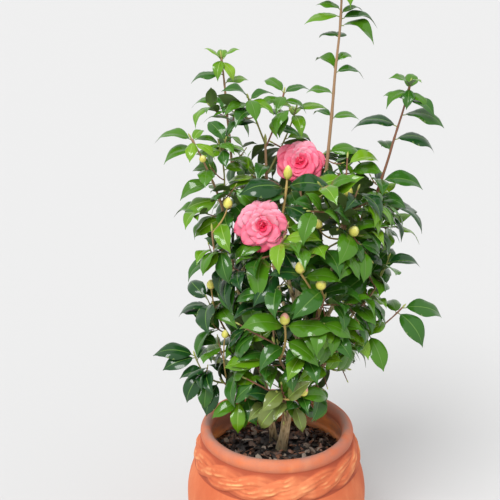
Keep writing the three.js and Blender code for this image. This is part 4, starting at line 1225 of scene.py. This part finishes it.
def add_limb_mesh(shell, limb, rings, sides, collar):
    t = np.linspace(0, 1, rings)
    length = limb.length()
    radii = np.array([limb.radius(place) for place in t])
    radii = radii + collar * radii[0] * np.exp(-t * length / COLLAR_LENGTH)
    relief = np.array([[bark_relief(limb, radius, angle, place * length)
                        for angle in angles_round(sides)] for place, radius in zip(t, radii)])
    joints = [row[2] for row in (*LIMBS, *MASSES) if limbs.get(row[1]) is limb]
    for joint in joints:
        radii = radii * (1 + JOINT_SWELLING * np.exp(-((t - joint) * length / JOINT_LENGTH)**2))
    radii = radii[:, None] + relief * np.minimum(1, radii[:, None] / FULL_RELIEF_FROM)
    add_tube(shell, path_of(limb, rings), radii, sides, 0)


def make_bark():
    """Tan bark with dark flecks and pale patches, their contrast raised as painted shade and painted
    highlight, dark with soil at its foot.
    """
    paint = Paint("bark", (0.3, 0.235, 0.135), 0.8)
    flecks = paint.noise((230, 230, 50), 6)
    # Flecks: the bark's own tone, stretched in contrast as painted shade and painted highlight
    ramp = paint.tree.nodes.new("ShaderNodeValToRGB")
    paint.fill(ramp.inputs["Fac"], flecks)
    ramp.color_ramp.elements.new(0.5)
    for tone, (position, colour) in zip(ramp.color_ramp.elements, BARK_TONES_AND_PAINTED_LIGHT):
        tone.position, tone.color = position, (*colour, 1)
    paint.colour = ramp.outputs["Color"]
    # Pale patches: partly the bark's own tone, partly painted highlight
    paint.coat((0.92, 0.79, 0.50), paint.share(paint.noise((60, 60, 30), 3), 0.5, 0.62, 0.5))
    height = paint.node("SeparateXYZ", {"Vector": paint.place})["Z"]
    paint.coat((0.070, 0.065, 0.040), paint.share(height, *SOILED_HEIGHTS, 0.85))
    return paint.finished(flecks, strength=0.8, distance=0.0012)


def build_limbs():
    bark = make_bark()
    for kind, (rings, sides, collar) in LIMB_KINDS.items():
        names = [name for name in limbs if name.startswith(kind)]
        shell = Shell(kind + "s", [bark], "bark", names)
        for name in names:
            add_limb_mesh(shell, limbs[name], rings, sides, collar)
        shell.build()


# Blooms: rows of petals round a facing, each a thin cupped sheet that opens from upright to flat
PETAL_STEPS = np.array((0, 0.12, 0.26, 0.4, 0.53, 0.65, 0.76, 0.86, 0.93, 0.965, 1))
PETAL_COLUMNS = np.array((-1, -0.88, -0.66, -0.35, 0, 0.35, 0.66, 0.88, 1))
PETAL_THICKNESS = 0.8
PETAL_LEAST = 0.8
PETAL_SHAPE = {"cup": (0.1, 0.26), "roll": (0.25, 0.45), "tilt": (0.05, 0.14),
               "ruffle": (0.4, 1.3), "phase": ANY_ANGLE}
PETAL_NOTCHES = (0, 0.03, 0.08)
OUTER_REFLEX = (0.25, 0.75)
INNER_REFLEX = (-0.2, 0.4)
PETAL_SEED = 31
PETAL_ROUGHNESS = 0.5
PETAL_GLOW = {"Subsurface Weight": 0.15, "Subsurface Scale": 0.003,
              "Subsurface Radius": (1, 0.35, 0.35)}
PINKS = (
    ("petal_deep", (0.58, 0.009, 0.048)),
    ("petal_rose", (0.77, 0.022, 0.086)),
    ("petal_pink", (0.86, 0.054, 0.142)),
    ("petal_soft", (0.90, 0.112, 0.212)),
    ("petal_light", (0.93, 0.205, 0.312)),
    ("petal_blush", (0.94, 0.350, 0.455)),
)
# Painted shade at each petal's foot and rim, and painted light on the petals above a bloom's middle
FOOT_SHADE = 3.8
FOOT_SHARE = 0.74
RIM_SHADE = 0.8
RIM_FROM = (0.965, 0.9)
PETAL_TONE_SPREAD = 0.5
LIT_FROM_ABOVE = 1.1
BLOOM_FORWARD = 4
BLOOM_DOWN = 3
ROW_TURN = 0.3
FORMAL_BLOOM = "upper_centre"
PEONY_LOOSENESS = 1.4
PETAL_SHIFT = 0.1
PETAL_SIZE_SPREAD = 0.05
PETAL_LEAN = 5
INNER_LEAN = 1.6
INNER_CUP = 0.1
INNER_FROM = 4
REFLEXED_UP_TO = 4
BLOOM_SHARP_FROM = 80

# Number of petals, length, width, opening at the foot and at the tip in degrees, and tone
DOUBLE_ROWS = (
    (7, 53, 44, 62, 92, 3.9), (7, 48, 43, 52, 82, 4.0), (7, 42, 40, 42, 70, 3.9),
    (6, 34, 36, 33, 60, 3.6), (5, 27, 30, 23, 46, 3.2), (5, 19, 22, 8, 16, 2.6),
    (4, 17, 18, 30, -50, 3.6),
)
PEONY_ROWS = (
    (8, 53, 36, 60, 94, 4.5), (8, 50, 34, 52, 86, 4.7), (7, 45, 34, 44, 76, 4.6),
    (6, 39, 34, 34, 68, 4.6), (5, 32, 31, 20, 54, 4.2), (7, 26, 15, 16, 44, 2.8),
    (6, 22, 12, 2, 30, 2.4), (4, 18, 11, -6, 14, 2.2),
)


def petal_half_width(u, width):
    """Half the petal's width along it: a narrow foot and a broad round end."""
    foot = 0.3 + 0.7 * np.sin(math.pi / 2 * np.minimum(1, u / 0.6))
    end = np.sqrt(np.clip(1 - ramp(u, 0.6, 0.402)**2.1, 0, 1))
    return np.maximum(width / 2 * foot * end, PETAL_LEAST)[:, None]


def petal_points(bloom_frame, azimuth, length, width, opening, shape):
    """The sheet of one petal; its midline bends from one opening angle to the other."""
    base, facing, first, second = bloom_frame
    outward = first * math.cos(azimuth) + second * math.sin(azimuth)
    across = np.cross(facing, outward)
    steps, v = PETAL_STEPS, PETAL_COLUMNS[None]
    u, aside = steps[:, None], np.abs(v)
    reflex = shape.reflex * ramp(steps, 0.75, 0.25)**2
    angle = np.radians(within(opening, steps**0.8)) + reflex
    middle_angle, step = (angle[:-1] + angle[1:]) / 2, np.diff(steps) * length
    out = np.concatenate([[0], np.cumsum(np.sin(middle_angle) * step)])[:, None, None]
    forth = np.concatenate([[0], np.cumsum(np.cos(middle_angle) * step)])[:, None, None]
    notch = -shape.notch * length * np.exp(-(v / 0.3)**2) * ramp(u, 0.7, 0.3)
    half = petal_half_width(steps, width)
    wave = shape.ruffle * np.sin(v * 5.5 + shape.phase + 2.5 * u)
    wave = wave * (0.2 + aside) * np.clip(u * 1.6 - 0.3, 0, 1)
    rolled = ramp(aside, 0.62, 0.38)**2 * np.clip(u * 2 - 0.6, 0, 1)
    lift = half * (shape.cup * v**2 + shape.tilt * v - shape.roll * rolled) + wave
    sine, cosine = np.sin(angle)[:, None, None], np.cos(angle)[:, None, None]
    inner = -cosine * outward + sine * facing
    along = sine * outward + cosine * facing
    middle = base + out * outward + forth * facing
    sheet = middle + (half * v)[..., None] * across + lift[..., None] * inner + notch[..., None] * along
    thick = PETAL_THICKNESS / 2 * inner
    return sheet_points(sheet + thick, sheet - thick)


def petal_tones(tone):
    """The tone of each face: light on its face, with painted shade deep at the petal's foot and deeper
    at its rim.
    """
    u = (PETAL_STEPS[:-1] + PETAL_STEPS[1:])[:, None] / 2
    v = np.abs(PETAL_COLUMNS[:-1] + PETAL_COLUMNS[1:])[None] / 2
    rim = np.maximum(u > RIM_FROM[0], v > RIM_FROM[1])
    # Painted shade: darker tones at the petal's foot, and at its rim on both sides
    top = tone - FOOT_SHADE * np.clip(1 - u / FOOT_SHARE, 0, 1) - RIM_SHADE * rim
    under = tone + 0.2 + 0 * top - RIM_SHADE * rim
    tones = np.round(np.concatenate([top.ravel(), under.ravel()]))
    return np.clip(tones, 0, len(PINKS) - 1).astype(int)


def petal_scale(azimuth, formal):
    """How much shorter a petal is above or below the bloom's middle than beside it."""
    if formal:
        return 1 + 0.05 * math.sin(azimuth)**2 - 0.15 * max(0, math.cos(azimuth))
    return 1 - 0.09 * math.cos(azimuth)


def add_bloom_mesh(shell, bloom, rows, formal, chance):
    mass, base, facing, size = bloom
    first = np.array(square_to(facing, UP))
    facing = np.array(facing)
    middle = np.array(swayed(base)) + facing * BLOOM_FORWARD * size - first * BLOOM_DOWN
    bloom_frame = (middle, facing, first, np.cross(facing, first))
    faces = sheet_faces(len(PETAL_STEPS), len(PETAL_COLUMNS))
    loose = 1 if formal else PEONY_LOOSENESS
    for index, (count, length, width, foot, tip, tone) in enumerate(rows):
        inner_row = index >= INNER_FROM
        start = index * math.pi / count + ROW_TURN
        for i in range(count):
            shift = chance.uniform(-PETAL_SHIFT, PETAL_SHIFT) * loose
            azimuth = start + (i + shift) / count * FULL_TURN
            own_size = 1 + chance.uniform(-PETAL_SIZE_SPREAD, PETAL_SIZE_SPREAD) * loose
            scale = size * own_size * petal_scale(azimuth, formal)
            lean = chance.uniform(-PETAL_LEAN, PETAL_LEAN) * loose
            lean *= INNER_LEAN if inner_row else 1
            shape = drawn(PETAL_SHAPE, chance)
            shape.cup += INNER_CUP if inner_row else 0
            shape.ruffle = shape.ruffle * loose * size
            shape.notch = chance.choice(PETAL_NOTCHES)
            reflex = OUTER_REFLEX if index <= REFLEXED_UP_TO else INNER_REFLEX
            shape.reflex = chance.uniform(*reflex)
            opening = (foot + lean, tip + lean)
            points = petal_points(bloom_frame, azimuth, length * scale, width * scale, opening,
                                  shape)
            own = tone + chance.gauss(0, PETAL_TONE_SPREAD) + LIT_FROM_ABOVE * math.cos(azimuth)
            shell.add(points, faces, petal_tones(own))


def build_blooms():
    chance = random.Random(PETAL_SEED)
    shell = Shell("bloom_petals", make_finishes(PINKS, PETAL_ROUGHNESS, **PETAL_GLOW), "petal")
    for bloom in grown.blooms:
        formal = bloom[0].name == FORMAL_BLOOM
        add_bloom_mesh(shell, bloom, DOUBLE_ROWS if formal else PEONY_ROWS, formal, chance)
    shell.build(BLOOM_SHARP_FROM)


# Buds: an egg under overlapping scales
BUD_FINISHES = (
    ("bud_scale", (0.720, 0.670, 0.130)),
    ("bud_scale_tan", (0.540, 0.400, 0.120)),
    ("bud_core_green", (0.770, 0.740, 0.250)),
    ("bud_core_pink", (0.900, 0.450, 0.340)),
)
SCALE, SCALE_TAN, CORE_GREEN, CORE_PINK = range(4)
BUD_ROUGHNESS = 0.45
BUD_HEIGHTS = (0, 0.12, 0.3, 0.5, 0.7, 0.85, 0.95, 1)
BUD_REACHES = (0.35, 0.76, 1, 1.02, 0.86, 0.6, 0.34, 0.06)
BUD_RINGS = 10
BUD_SIDES = 14
BUD_FORM = (0.9, 0.84)
TALL_BUD_FORM = (0.66, 0.9)
TALL_BUD = 1.2
PINK_TIPPED = ("mid_front", "low_front")
SCALE_COUNT = 8
SCALE_ROWS = 7
SCALE_THICKNESS = 0.6
CALYX_SIZE = 0.85
CALYX_DEPTH = 6


def bud_surface(bud_frame, size, height, azimuth, proud):
    base, facing, first, second = bud_frame
    narrow, long = TALL_BUD_FORM if size > TALL_BUD else BUD_FORM
    reach = BUD_RADIUS * narrow * size * np.interp(height, BUD_HEIGHTS, BUD_REACHES) + proud
    around = np.cos(azimuth)[..., None] * first + np.sin(azimuth)[..., None] * second
    return base + facing * (height * BUD_LENGTH * size * long)[..., None] + around * reach[..., None]


def add_bud_mesh(shell, mass, base, facing, size):
    first, facing = np.array(square_to(facing, ACROSS)), np.array(facing)
    bud_frame = (np.array(swayed(base)), facing, first, np.cross(facing, first))
    pink = mass.name in PINK_TIPPED
    heights = np.linspace(0, 1, BUD_RINGS)[:, None] + np.zeros((1, BUD_SIDES))
    points = bud_surface(bud_frame, size, heights, angles_round(BUD_SIDES)[None] + 0 * heights, 0)
    shell.add(points, tube_faces(BUD_RINGS, BUD_SIDES), CORE_PINK if pink else CORE_GREEN)
    u = np.linspace(0, 1, SCALE_ROWS)[:, None] + np.zeros((1, SCALE_ROWS))
    v = np.linspace(-1, 1, SCALE_ROWS)[None] + 0 * u
    for i in range(SCALE_COUNT):
        rank = i / (SCALE_COUNT - 1)
        top = 0.42 + 0.5 * rank - (0.08 if pink else 0)
        taper = np.clip(1 - ramp(u, 0.35, 0.66)**1.8, 0.002, 1)
        azimuth = i * SPIRAL + v * ((1.35 - 0.2 * rank) * np.sqrt(taper))
        height = 0.02 + (top - 0.02) * u
        proud = 0.35 + 1.5 * (1 - rank) * (1 - 0.55 * u)
        upper = bud_surface(bud_frame, size, height, azimuth, proud)
        lower = bud_surface(bud_frame, size, height, azimuth, proud - SCALE_THICKNESS)
        finish = SCALE_TAN if i < 2 else SCALE
        shell.add(sheet_points(upper, lower), sheet_faces(SCALE_ROWS, SCALE_ROWS), finish)


def build_buds():
    """The buds, and under each bloom the bud that it came from."""
    shell = Shell("buds", make_finishes(BUD_FINISHES, BUD_ROUGHNESS), "bud")
    for bud in grown.buds:
        add_bud_mesh(shell, *bud)
    for mass, base, facing, size in grown.blooms:
        add_bud_mesh(shell, mass, base - facing * CALYX_DEPTH * size, facing, size * CALYX_SIZE)
    shell.build()


# The pot: one outline turned about the upright axis, with a twisted rope band on its shoulder
POT_BELLY = ((0, 0.626), (62, 0.849), (122, 0.979), (165, 1), (203, 0.973), (236, 0.912))
POT_INSIDE = ((POT_FOOT_RADIUS - POT_WALL, POT_FLOOR), (141, 82.5),
              (POT_BELLY_RADIUS - POT_WALL, POT_BELLY_HEIGHT), (POT_NECK_RADIUS - POT_WALL / 2, 241))
POT_THROAT = ((145.8, 258), (141, 277), (POT_MOUTH_RADIUS + 3, 291))
# The rows that round the foot's edge: how far inside its radius, and how high
POT_FOOT_ROWS = ((8, 0), (2, 0.6))
POT_SIDES = 288
POT_UNEVEN = 0.9
POT_UNEVEN_SCALES = (2.2, 0.012)
INSIDE_UNEVEN = 0.4
BELLY_STEPS = 10
INSIDE_STEPS = 5
ROPE_ROWS = 44
RIM_ROWS = 22
RIM_ANGLES = (-0.38, math.pi + 0.7)
ROPE_LOW, ROPE_HIGH = 236, 294
ROPE_RADII = (171.5, 156)
ROPE_STRANDS = 3
ROPE_TURNS = 5
ROPE_SWING = 12.5
ROPE_DEPTH = 8
ROPE_STRAND_HALF = 15
ROPE_FIBRES = 10
ROPE_FIBRE_DEPTH = 1.0
ROPE_ROUGH_DEPTH = 1.3
ROPE_PLAIN = 0.45


def spline(points, count):
    """Points along a smooth curve through the given ones, "count" from each to the next."""
    points = np.array(points, float)
    padded = np.concatenate([points[:1], points, points[-1:]])
    found = []
    for i in range(len(points) - 1):
        a, b, c, d = padded[i:i + 4]
        for t in np.arange(count) / count:
            found.append(0.5 * (2 * b + (c - a) * t + (2 * a - 5 * b + 4 * c - d) * t * t
                                + (3 * b - a - 3 * c + d) * t**3))
    return [*found, points[-1]]


def pot_outline():
    """The pot's outline as radius, height, and whether each point is rope, rim or inside."""
    belly = spline([(POT_BELLY_RADIUS * share, height) for height, share in POT_BELLY], BELLY_STEPS)
    rows = [(POT_FOOT_RADIUS - inset, height, 0, 0, 0) for inset, height in POT_FOOT_ROWS]
    rows += [(radius, height, 0, 0, 0) for radius, height in belly[1:-1]]
    for height in np.linspace(ROPE_LOW, ROPE_HIGH, ROPE_ROWS):
        share = (height - ROPE_LOW) / (ROPE_HIGH - ROPE_LOW)
        rows.append((within(ROPE_RADII, share**1.1), height, 1, 0, 0))
    half = (POT_RIM_RADIUS - POT_MOUTH_RADIUS) / 2
    for angle in np.linspace(*RIM_ANGLES, RIM_ROWS):
        across = POT_MOUTH_RADIUS + half + half * math.cos(angle)
        rubbed = 0.35 + 0.65 * math.exp(-((angle - 1.9) / 0.65)**2)
        rows.append((across, POT_HEIGHT - RIM_HALF_HEIGHT * (1 - math.sin(angle)), 0, rubbed, 0))
    inside = spline([*POT_INSIDE, *POT_THROAT][::-1], INSIDE_STEPS)
    return rows + [(radius, height, 0, 0, 1) for radius, height in inside]


def rope_relief(height, angle):
    """How far the rope stands proud, and how much of that is a ridge, at a height and an angle."""
    best, ridge = 0, 0
    middle = (ROPE_LOW + ROPE_HIGH) / 2
    x, y = math.cos(angle), math.sin(angle)
    for strand in range(ROPE_STRANDS):
        turn = ROPE_TURNS * angle + strand / ROPE_STRANDS * FULL_TURN
        aside = (height - middle - ROPE_SWING * math.sin(turn)) / ROPE_STRAND_HALF
        if abs(aside) < 1:
            front = 0.5 + 0.5 * math.cos(turn)
            proud = ROPE_DEPTH * (0.25 + 0.75 * front) * math.sqrt(1 - aside * aside)
            rough = noise.noise(Vector((x * 7, y * 7, height * 0.05 + strand * 3)))
            fibre = math.sin(aside * ROPE_FIBRES + turn * 1.2 + strand + 2.4 * rough)
            proud += ROPE_ROUGH_DEPTH * rough
            if proud > best:
                best, ridge = proud, fibre * (0.6 + rough)
    share = best / ROPE_DEPTH
    return best + ROPE_FIBRE_DEPTH * ridge * best / ROPE_DEPTH, share * (0.72 + 0.28 * ridge)


def build_pot():
    outline = pot_outline()
    scale, scale_up = POT_UNEVEN_SCALES
    points, rope, rim, inside = [], [], [], []
    for radius, height, is_rope, is_rim, is_inside in outline:
        for angle in angles_round(POT_SIDES):
            x, y = math.cos(angle), math.sin(angle)
            proud, ridge = rope_relief(height, angle) if is_rope else (0, ROPE_PLAIN)
            place = Vector((x * scale, y * scale, height * scale_up))
            uneven = noise.noise(place) * POT_UNEVEN
            reach = radius + proud + uneven * (INSIDE_UNEVEN if is_inside else 1)
            points.append((reach * x, reach * y, height))
            rope.append(ridge)
            rim.append(is_rim)
            inside.append(is_inside)
    shell = Shell("pot_body", [make_terracotta()], "terracotta", ["pot"])
    faces = tube_faces(len(outline), POT_SIDES)
    shell.add(points, faces, 0, rope=rope, rim=rim, inside=inside)
    shell.build()


def make_terracotta():
    """Blotched clay, with painted shade dark in the rope's hollows, crests pale with wear and painted
    highlight, stains at the rim, and stains inside on a wall brightened as painted light.
    """
    paint = Paint("terracotta", (0.78, 0.25, 0.11), 0.82)
    blotches = paint.share(paint.noise((9, 9, 6), 5), 0.35, 0.65)
    paint.colour = paint.mixed(blotches, (0.54, 0.110, 0.036), (0.70, 0.195, 0.074))
    streaks = paint.share(paint.noise((34, 34, 2.2), 4), 0.52, 0.75, 0.3)
    paint.coat((0.84, 0.34, 0.15), streaks)
    speckle = paint.noise((260, 260, 260), 3)
    paint.coat((0.50, 0.13, 0.06), paint.share(speckle, 0.55, 0.8, 0.3))
    # Painted shade: the rope's hollows, where the rope stands least proud, are darkened
    ridge = paint.field("rope")
    paint.coat((0.34, 0.055, 0.020), paint.share(ridge, 0.42, 0.1, 0.85))
    # Pale crests on the rope: partly wear, partly painted highlight
    patches = paint.share(paint.noise((48, 48, 60), 6), 0.42, 0.62)
    crest = paint.times(paint.share(ridge, 0.5, 1), patches)
    paint.coat((0.88, 0.46, 0.19), paint.times(crest, 0.95))
    worn = paint.share(paint.noise((30, 30, 60), 5), 0.25, 0.6)
    rubbed = paint.times(paint.field("rim"), worn)
    paint.coat((0.36, 0.19, 0.15), paint.times(rubbed, 1.1))
    # Inside wall: mottled stains, on clay brightened past the outer clay as painted light
    wet = paint.share(paint.noise((16, 16, 26), 5), 0.38, 0.62)
    damp_and_painted_light = paint.mixed(wet, (0.50, 0.20, 0.125), (0.97, 0.33, 0.10))
    lime = paint.share(paint.noise((11, 11, 30), 5), 0.55, 0.7, 0.55)
    paint.coat(paint.mixed(lime, damp_and_painted_light, (0.42, 0.33, 0.28)), paint.field("inside"))
    return paint.finished(speckle, strength=0.35, distance=0.0009)


# The mulch: a closed body of soil under many curved chips of bark
SOIL_FINISHES = (
    ("soil", (0.004, 0.003, 0.003)),
    ("chip_dark", (0.014, 0.009, 0.007)),
    ("chip_brown", (0.105, 0.060, 0.040)),
    ("chip_grey", (0.290, 0.230, 0.180)),
    ("chip_red", (0.230, 0.100, 0.056)),
)
SOIL_ROUGHNESS = 0.5
SOIL_SIDES = 120
SOIL_TOP = (142, 2)
SOIL_TOP_ROWS = 44
SOIL_GAP = 0.6
SOIL_SLOPE = 67
# Wide and narrow unevenness: scale, shift and height
SOIL_WAVES = ((0.05, 0, 2.2), (0.16, 50, 1.2))
CHIP_SEED = 3
CHIP_COUNT = 760
CHIP_LENGTHS = (8, 32, 15)
CHIP_WIDTHS = (5, 14, 8)
CHIP_CURVES = (0.5, 3.5)
CHIP_THICKNESSES = (1.6, 4)
CHIP_RAGGED = 0.16
CHIP_PITCH = 0.38
CHIP_ROLL = 0.42
CHIP_HEIGHTS = (0.5, 7)
CHIP_FINISHES = (1, 1, 1, 2, 2, 3, 4)
CHIP_SHARP_FROM = 35
CHIP_ROWS = 5
CHIP_COLUMNS = 3
CHIPS_WITHIN = 139
CHIP_ENDS_WITHIN = 144
CHIP_END = 0.4
TRUNK_CLEARANCE = 9


def soil_height(x, y):
    """Flat round the stems and lower at the wall, and a little uneven."""
    height = SOIL_HEIGHT - SOIL_EDGE_DROP * ramp(math.hypot(x, y), SOIL_FLAT_RADIUS, SOIL_SLOPE)
    for scale, shift, depth in SOIL_WAVES:
        height += depth * noise.noise(Vector((x, y, shift)) * scale)
    return height


def build_mulch():
    shell = Shell("mulch", make_finishes(SOIL_FINISHES, SOIL_ROUGHNESS), "soil", ["soil"])
    round_about = [(math.cos(angle), math.sin(angle)) for angle in angles_round(SOIL_SIDES)]
    points, rings = [], 0
    for radius, height in spline(POT_INSIDE, INSIDE_STEPS):
        reach, lift = radius - SEAT - SOIL_GAP, SEAT if height < POT_FLOOR + 1 else 0
        points += [(reach * x, reach * y, height + lift) for x, y in round_about]
        rings += 1
    for radius in np.linspace(*SOIL_TOP, SOIL_TOP_ROWS):
        flat = [(radius * x, radius * y) for x, y in round_about]
        points += [(x, y, soil_height(x, y)) for x, y in flat]
        rings += 1
    shell.add(points, tube_faces(rings, SOIL_SIDES), 0)
    chance = random.Random(CHIP_SEED)
    trunks = [limb for name, limb in limbs.items() if name.startswith("trunk")]
    laid = 0
    while laid < CHIP_COUNT:
        away = CHIPS_WITHIN * math.sqrt(chance.random())
        angle = chance.uniform(0, FULL_TURN)
        x, y = away * math.cos(angle), away * math.sin(angle)
        length = chance.triangular(*CHIP_LENGTHS)
        width = chance.triangular(*CHIP_WIDTHS)
        beside = min(math.hypot(x - limb.foot.x, y - limb.foot.y) - limb.radii[0] for limb in trunks)
        if beside >= TRUNK_CLEARANCE and away + length * CHIP_END <= CHIP_ENDS_WITHIN:
            add_chip(shell, x, y, length, width, chance)
            laid += 1
    shell.build(CHIP_SHARP_FROM)


def turned_in(first, second, angle):
    """The matrix that turns row vectors from one axis toward another."""
    matrix = np.identity(3)
    matrix[first, first] = matrix[second, second] = math.cos(angle)
    matrix[first, second] = math.sin(angle)
    matrix[second, first] = -math.sin(angle)
    return matrix


def add_chip(shell, x, y, length, width, chance):
    """A curved flake of bark with ragged ends, part sunk into the soil."""
    shape = (CHIP_ROWS, CHIP_COLUMNS)
    u = np.linspace(-0.5, 0.5, CHIP_ROWS)[:, None] + np.zeros((1, CHIP_COLUMNS))
    v = np.linspace(-0.5, 0.5, CHIP_COLUMNS)[None] + 0 * u
    curve = chance.uniform(*CHIP_CURVES)
    thick = chance.uniform(*CHIP_THICKNESSES)
    ragged = [chance.uniform(-CHIP_RAGGED, CHIP_RAGGED) for _ in range(CHIP_ROWS * CHIP_COLUMNS)]
    ragged = np.array(ragged).reshape(shape)
    narrow = 1 - 0.55 * np.abs(2 * u)**2.5 + ragged * 0.8
    bent = -curve * (2 * v)**2 - 0.6 * curve * (2 * u)**2
    flake = np.stack([u * length * (1 + ragged), v * width * narrow, bent], axis=-1)
    turn = chance.uniform(*ANY_ANGLE)
    pitch, roll = chance.gauss(0, CHIP_PITCH), chance.gauss(0, CHIP_ROLL)
    centre = np.array((x, y, soil_height(x, y) + chance.uniform(*CHIP_HEIGHTS)))
    lean, tilt, spin = turned_in(1, 2, roll), turned_in(0, 2, pitch), turned_in(0, 1, turn)
    sides = [(flake + (0, 0, lift)) @ lean @ tilt @ spin + centre for lift in (thick / 2, -thick / 2)]
    finish = chance.choice(CHIP_FINISHES)
    shell.add(sheet_points(*sides), sheet_faces(*shape), finish)


# The studio: a wide grey floor, even light from all round, and a wide soft sun from the front left
FLOOR_HALF = 30
FLOOR_GREY = (0.58, 0.58, 0.58)
FLOOR_ROUGHNESS = 0.9
SKY_STRENGTH = 0.89
SUN_WIDTH = math.radians(30)
SUN_ENERGY = 2.4
SUN_FROM = (-1.1, -2.3, 3)
LENS = 71.7
SENSOR_WIDTH = 36
SEEN_TO = 100
CAMERA_TILT = math.radians(70.4)


def build_studio():
    mesh = bpy.data.meshes.new("floor")
    signs = ((-1, -1), (1, -1), (1, 1), (-1, 1))
    corners = [(FLOOR_HALF * x, FLOOR_HALF * y, 0) for x, y in signs]
    mesh.from_pydata(corners, [], [(0, 1, 2, 3)])
    mesh.materials.append(make_finish("floor", FLOOR_GREY, FLOOR_ROUGHNESS))
    show("floor", mesh)
    world = bpy.data.worlds.new("studio")
    bpy.context.scene.world = world
    world.use_nodes = True
    background = world.node_tree.nodes["Background"]
    background.inputs["Color"].default_value = (1, 1, 1, 1)
    background.inputs["Strength"].default_value = SKY_STRENGTH
    lamp = bpy.data.lights.new("key", "SUN")
    lamp.angle, lamp.energy = SUN_WIDTH, SUN_ENERGY
    key = show("key", lamp)
    key.location = SUN_FROM
    key.rotation_euler = (-key.location).to_track_quat("-Z", "Y").to_euler()
    optics = bpy.data.cameras.new("camera")
    optics.lens, optics.sensor_width, optics.clip_end = LENS, SENSOR_WIDTH, SEEN_TO
    camera = show("camera", optics)
    camera.location = [part * MM for part in VIEWER]
    camera.rotation_euler = (CAMERA_TILT, 0, 0)
    bpy.context.scene.camera = camera
    bpy.context.scene.view_settings.view_transform = "Standard"


knots = {}
for leaf in grown.leaves:
    knots.setdefault(leaf.carrier.number, []).append(leaf.place)

build_pot()
build_mulch()
build_limbs()
build_twigs()
build_leaves()
build_blooms()
build_buds()
build_studio()
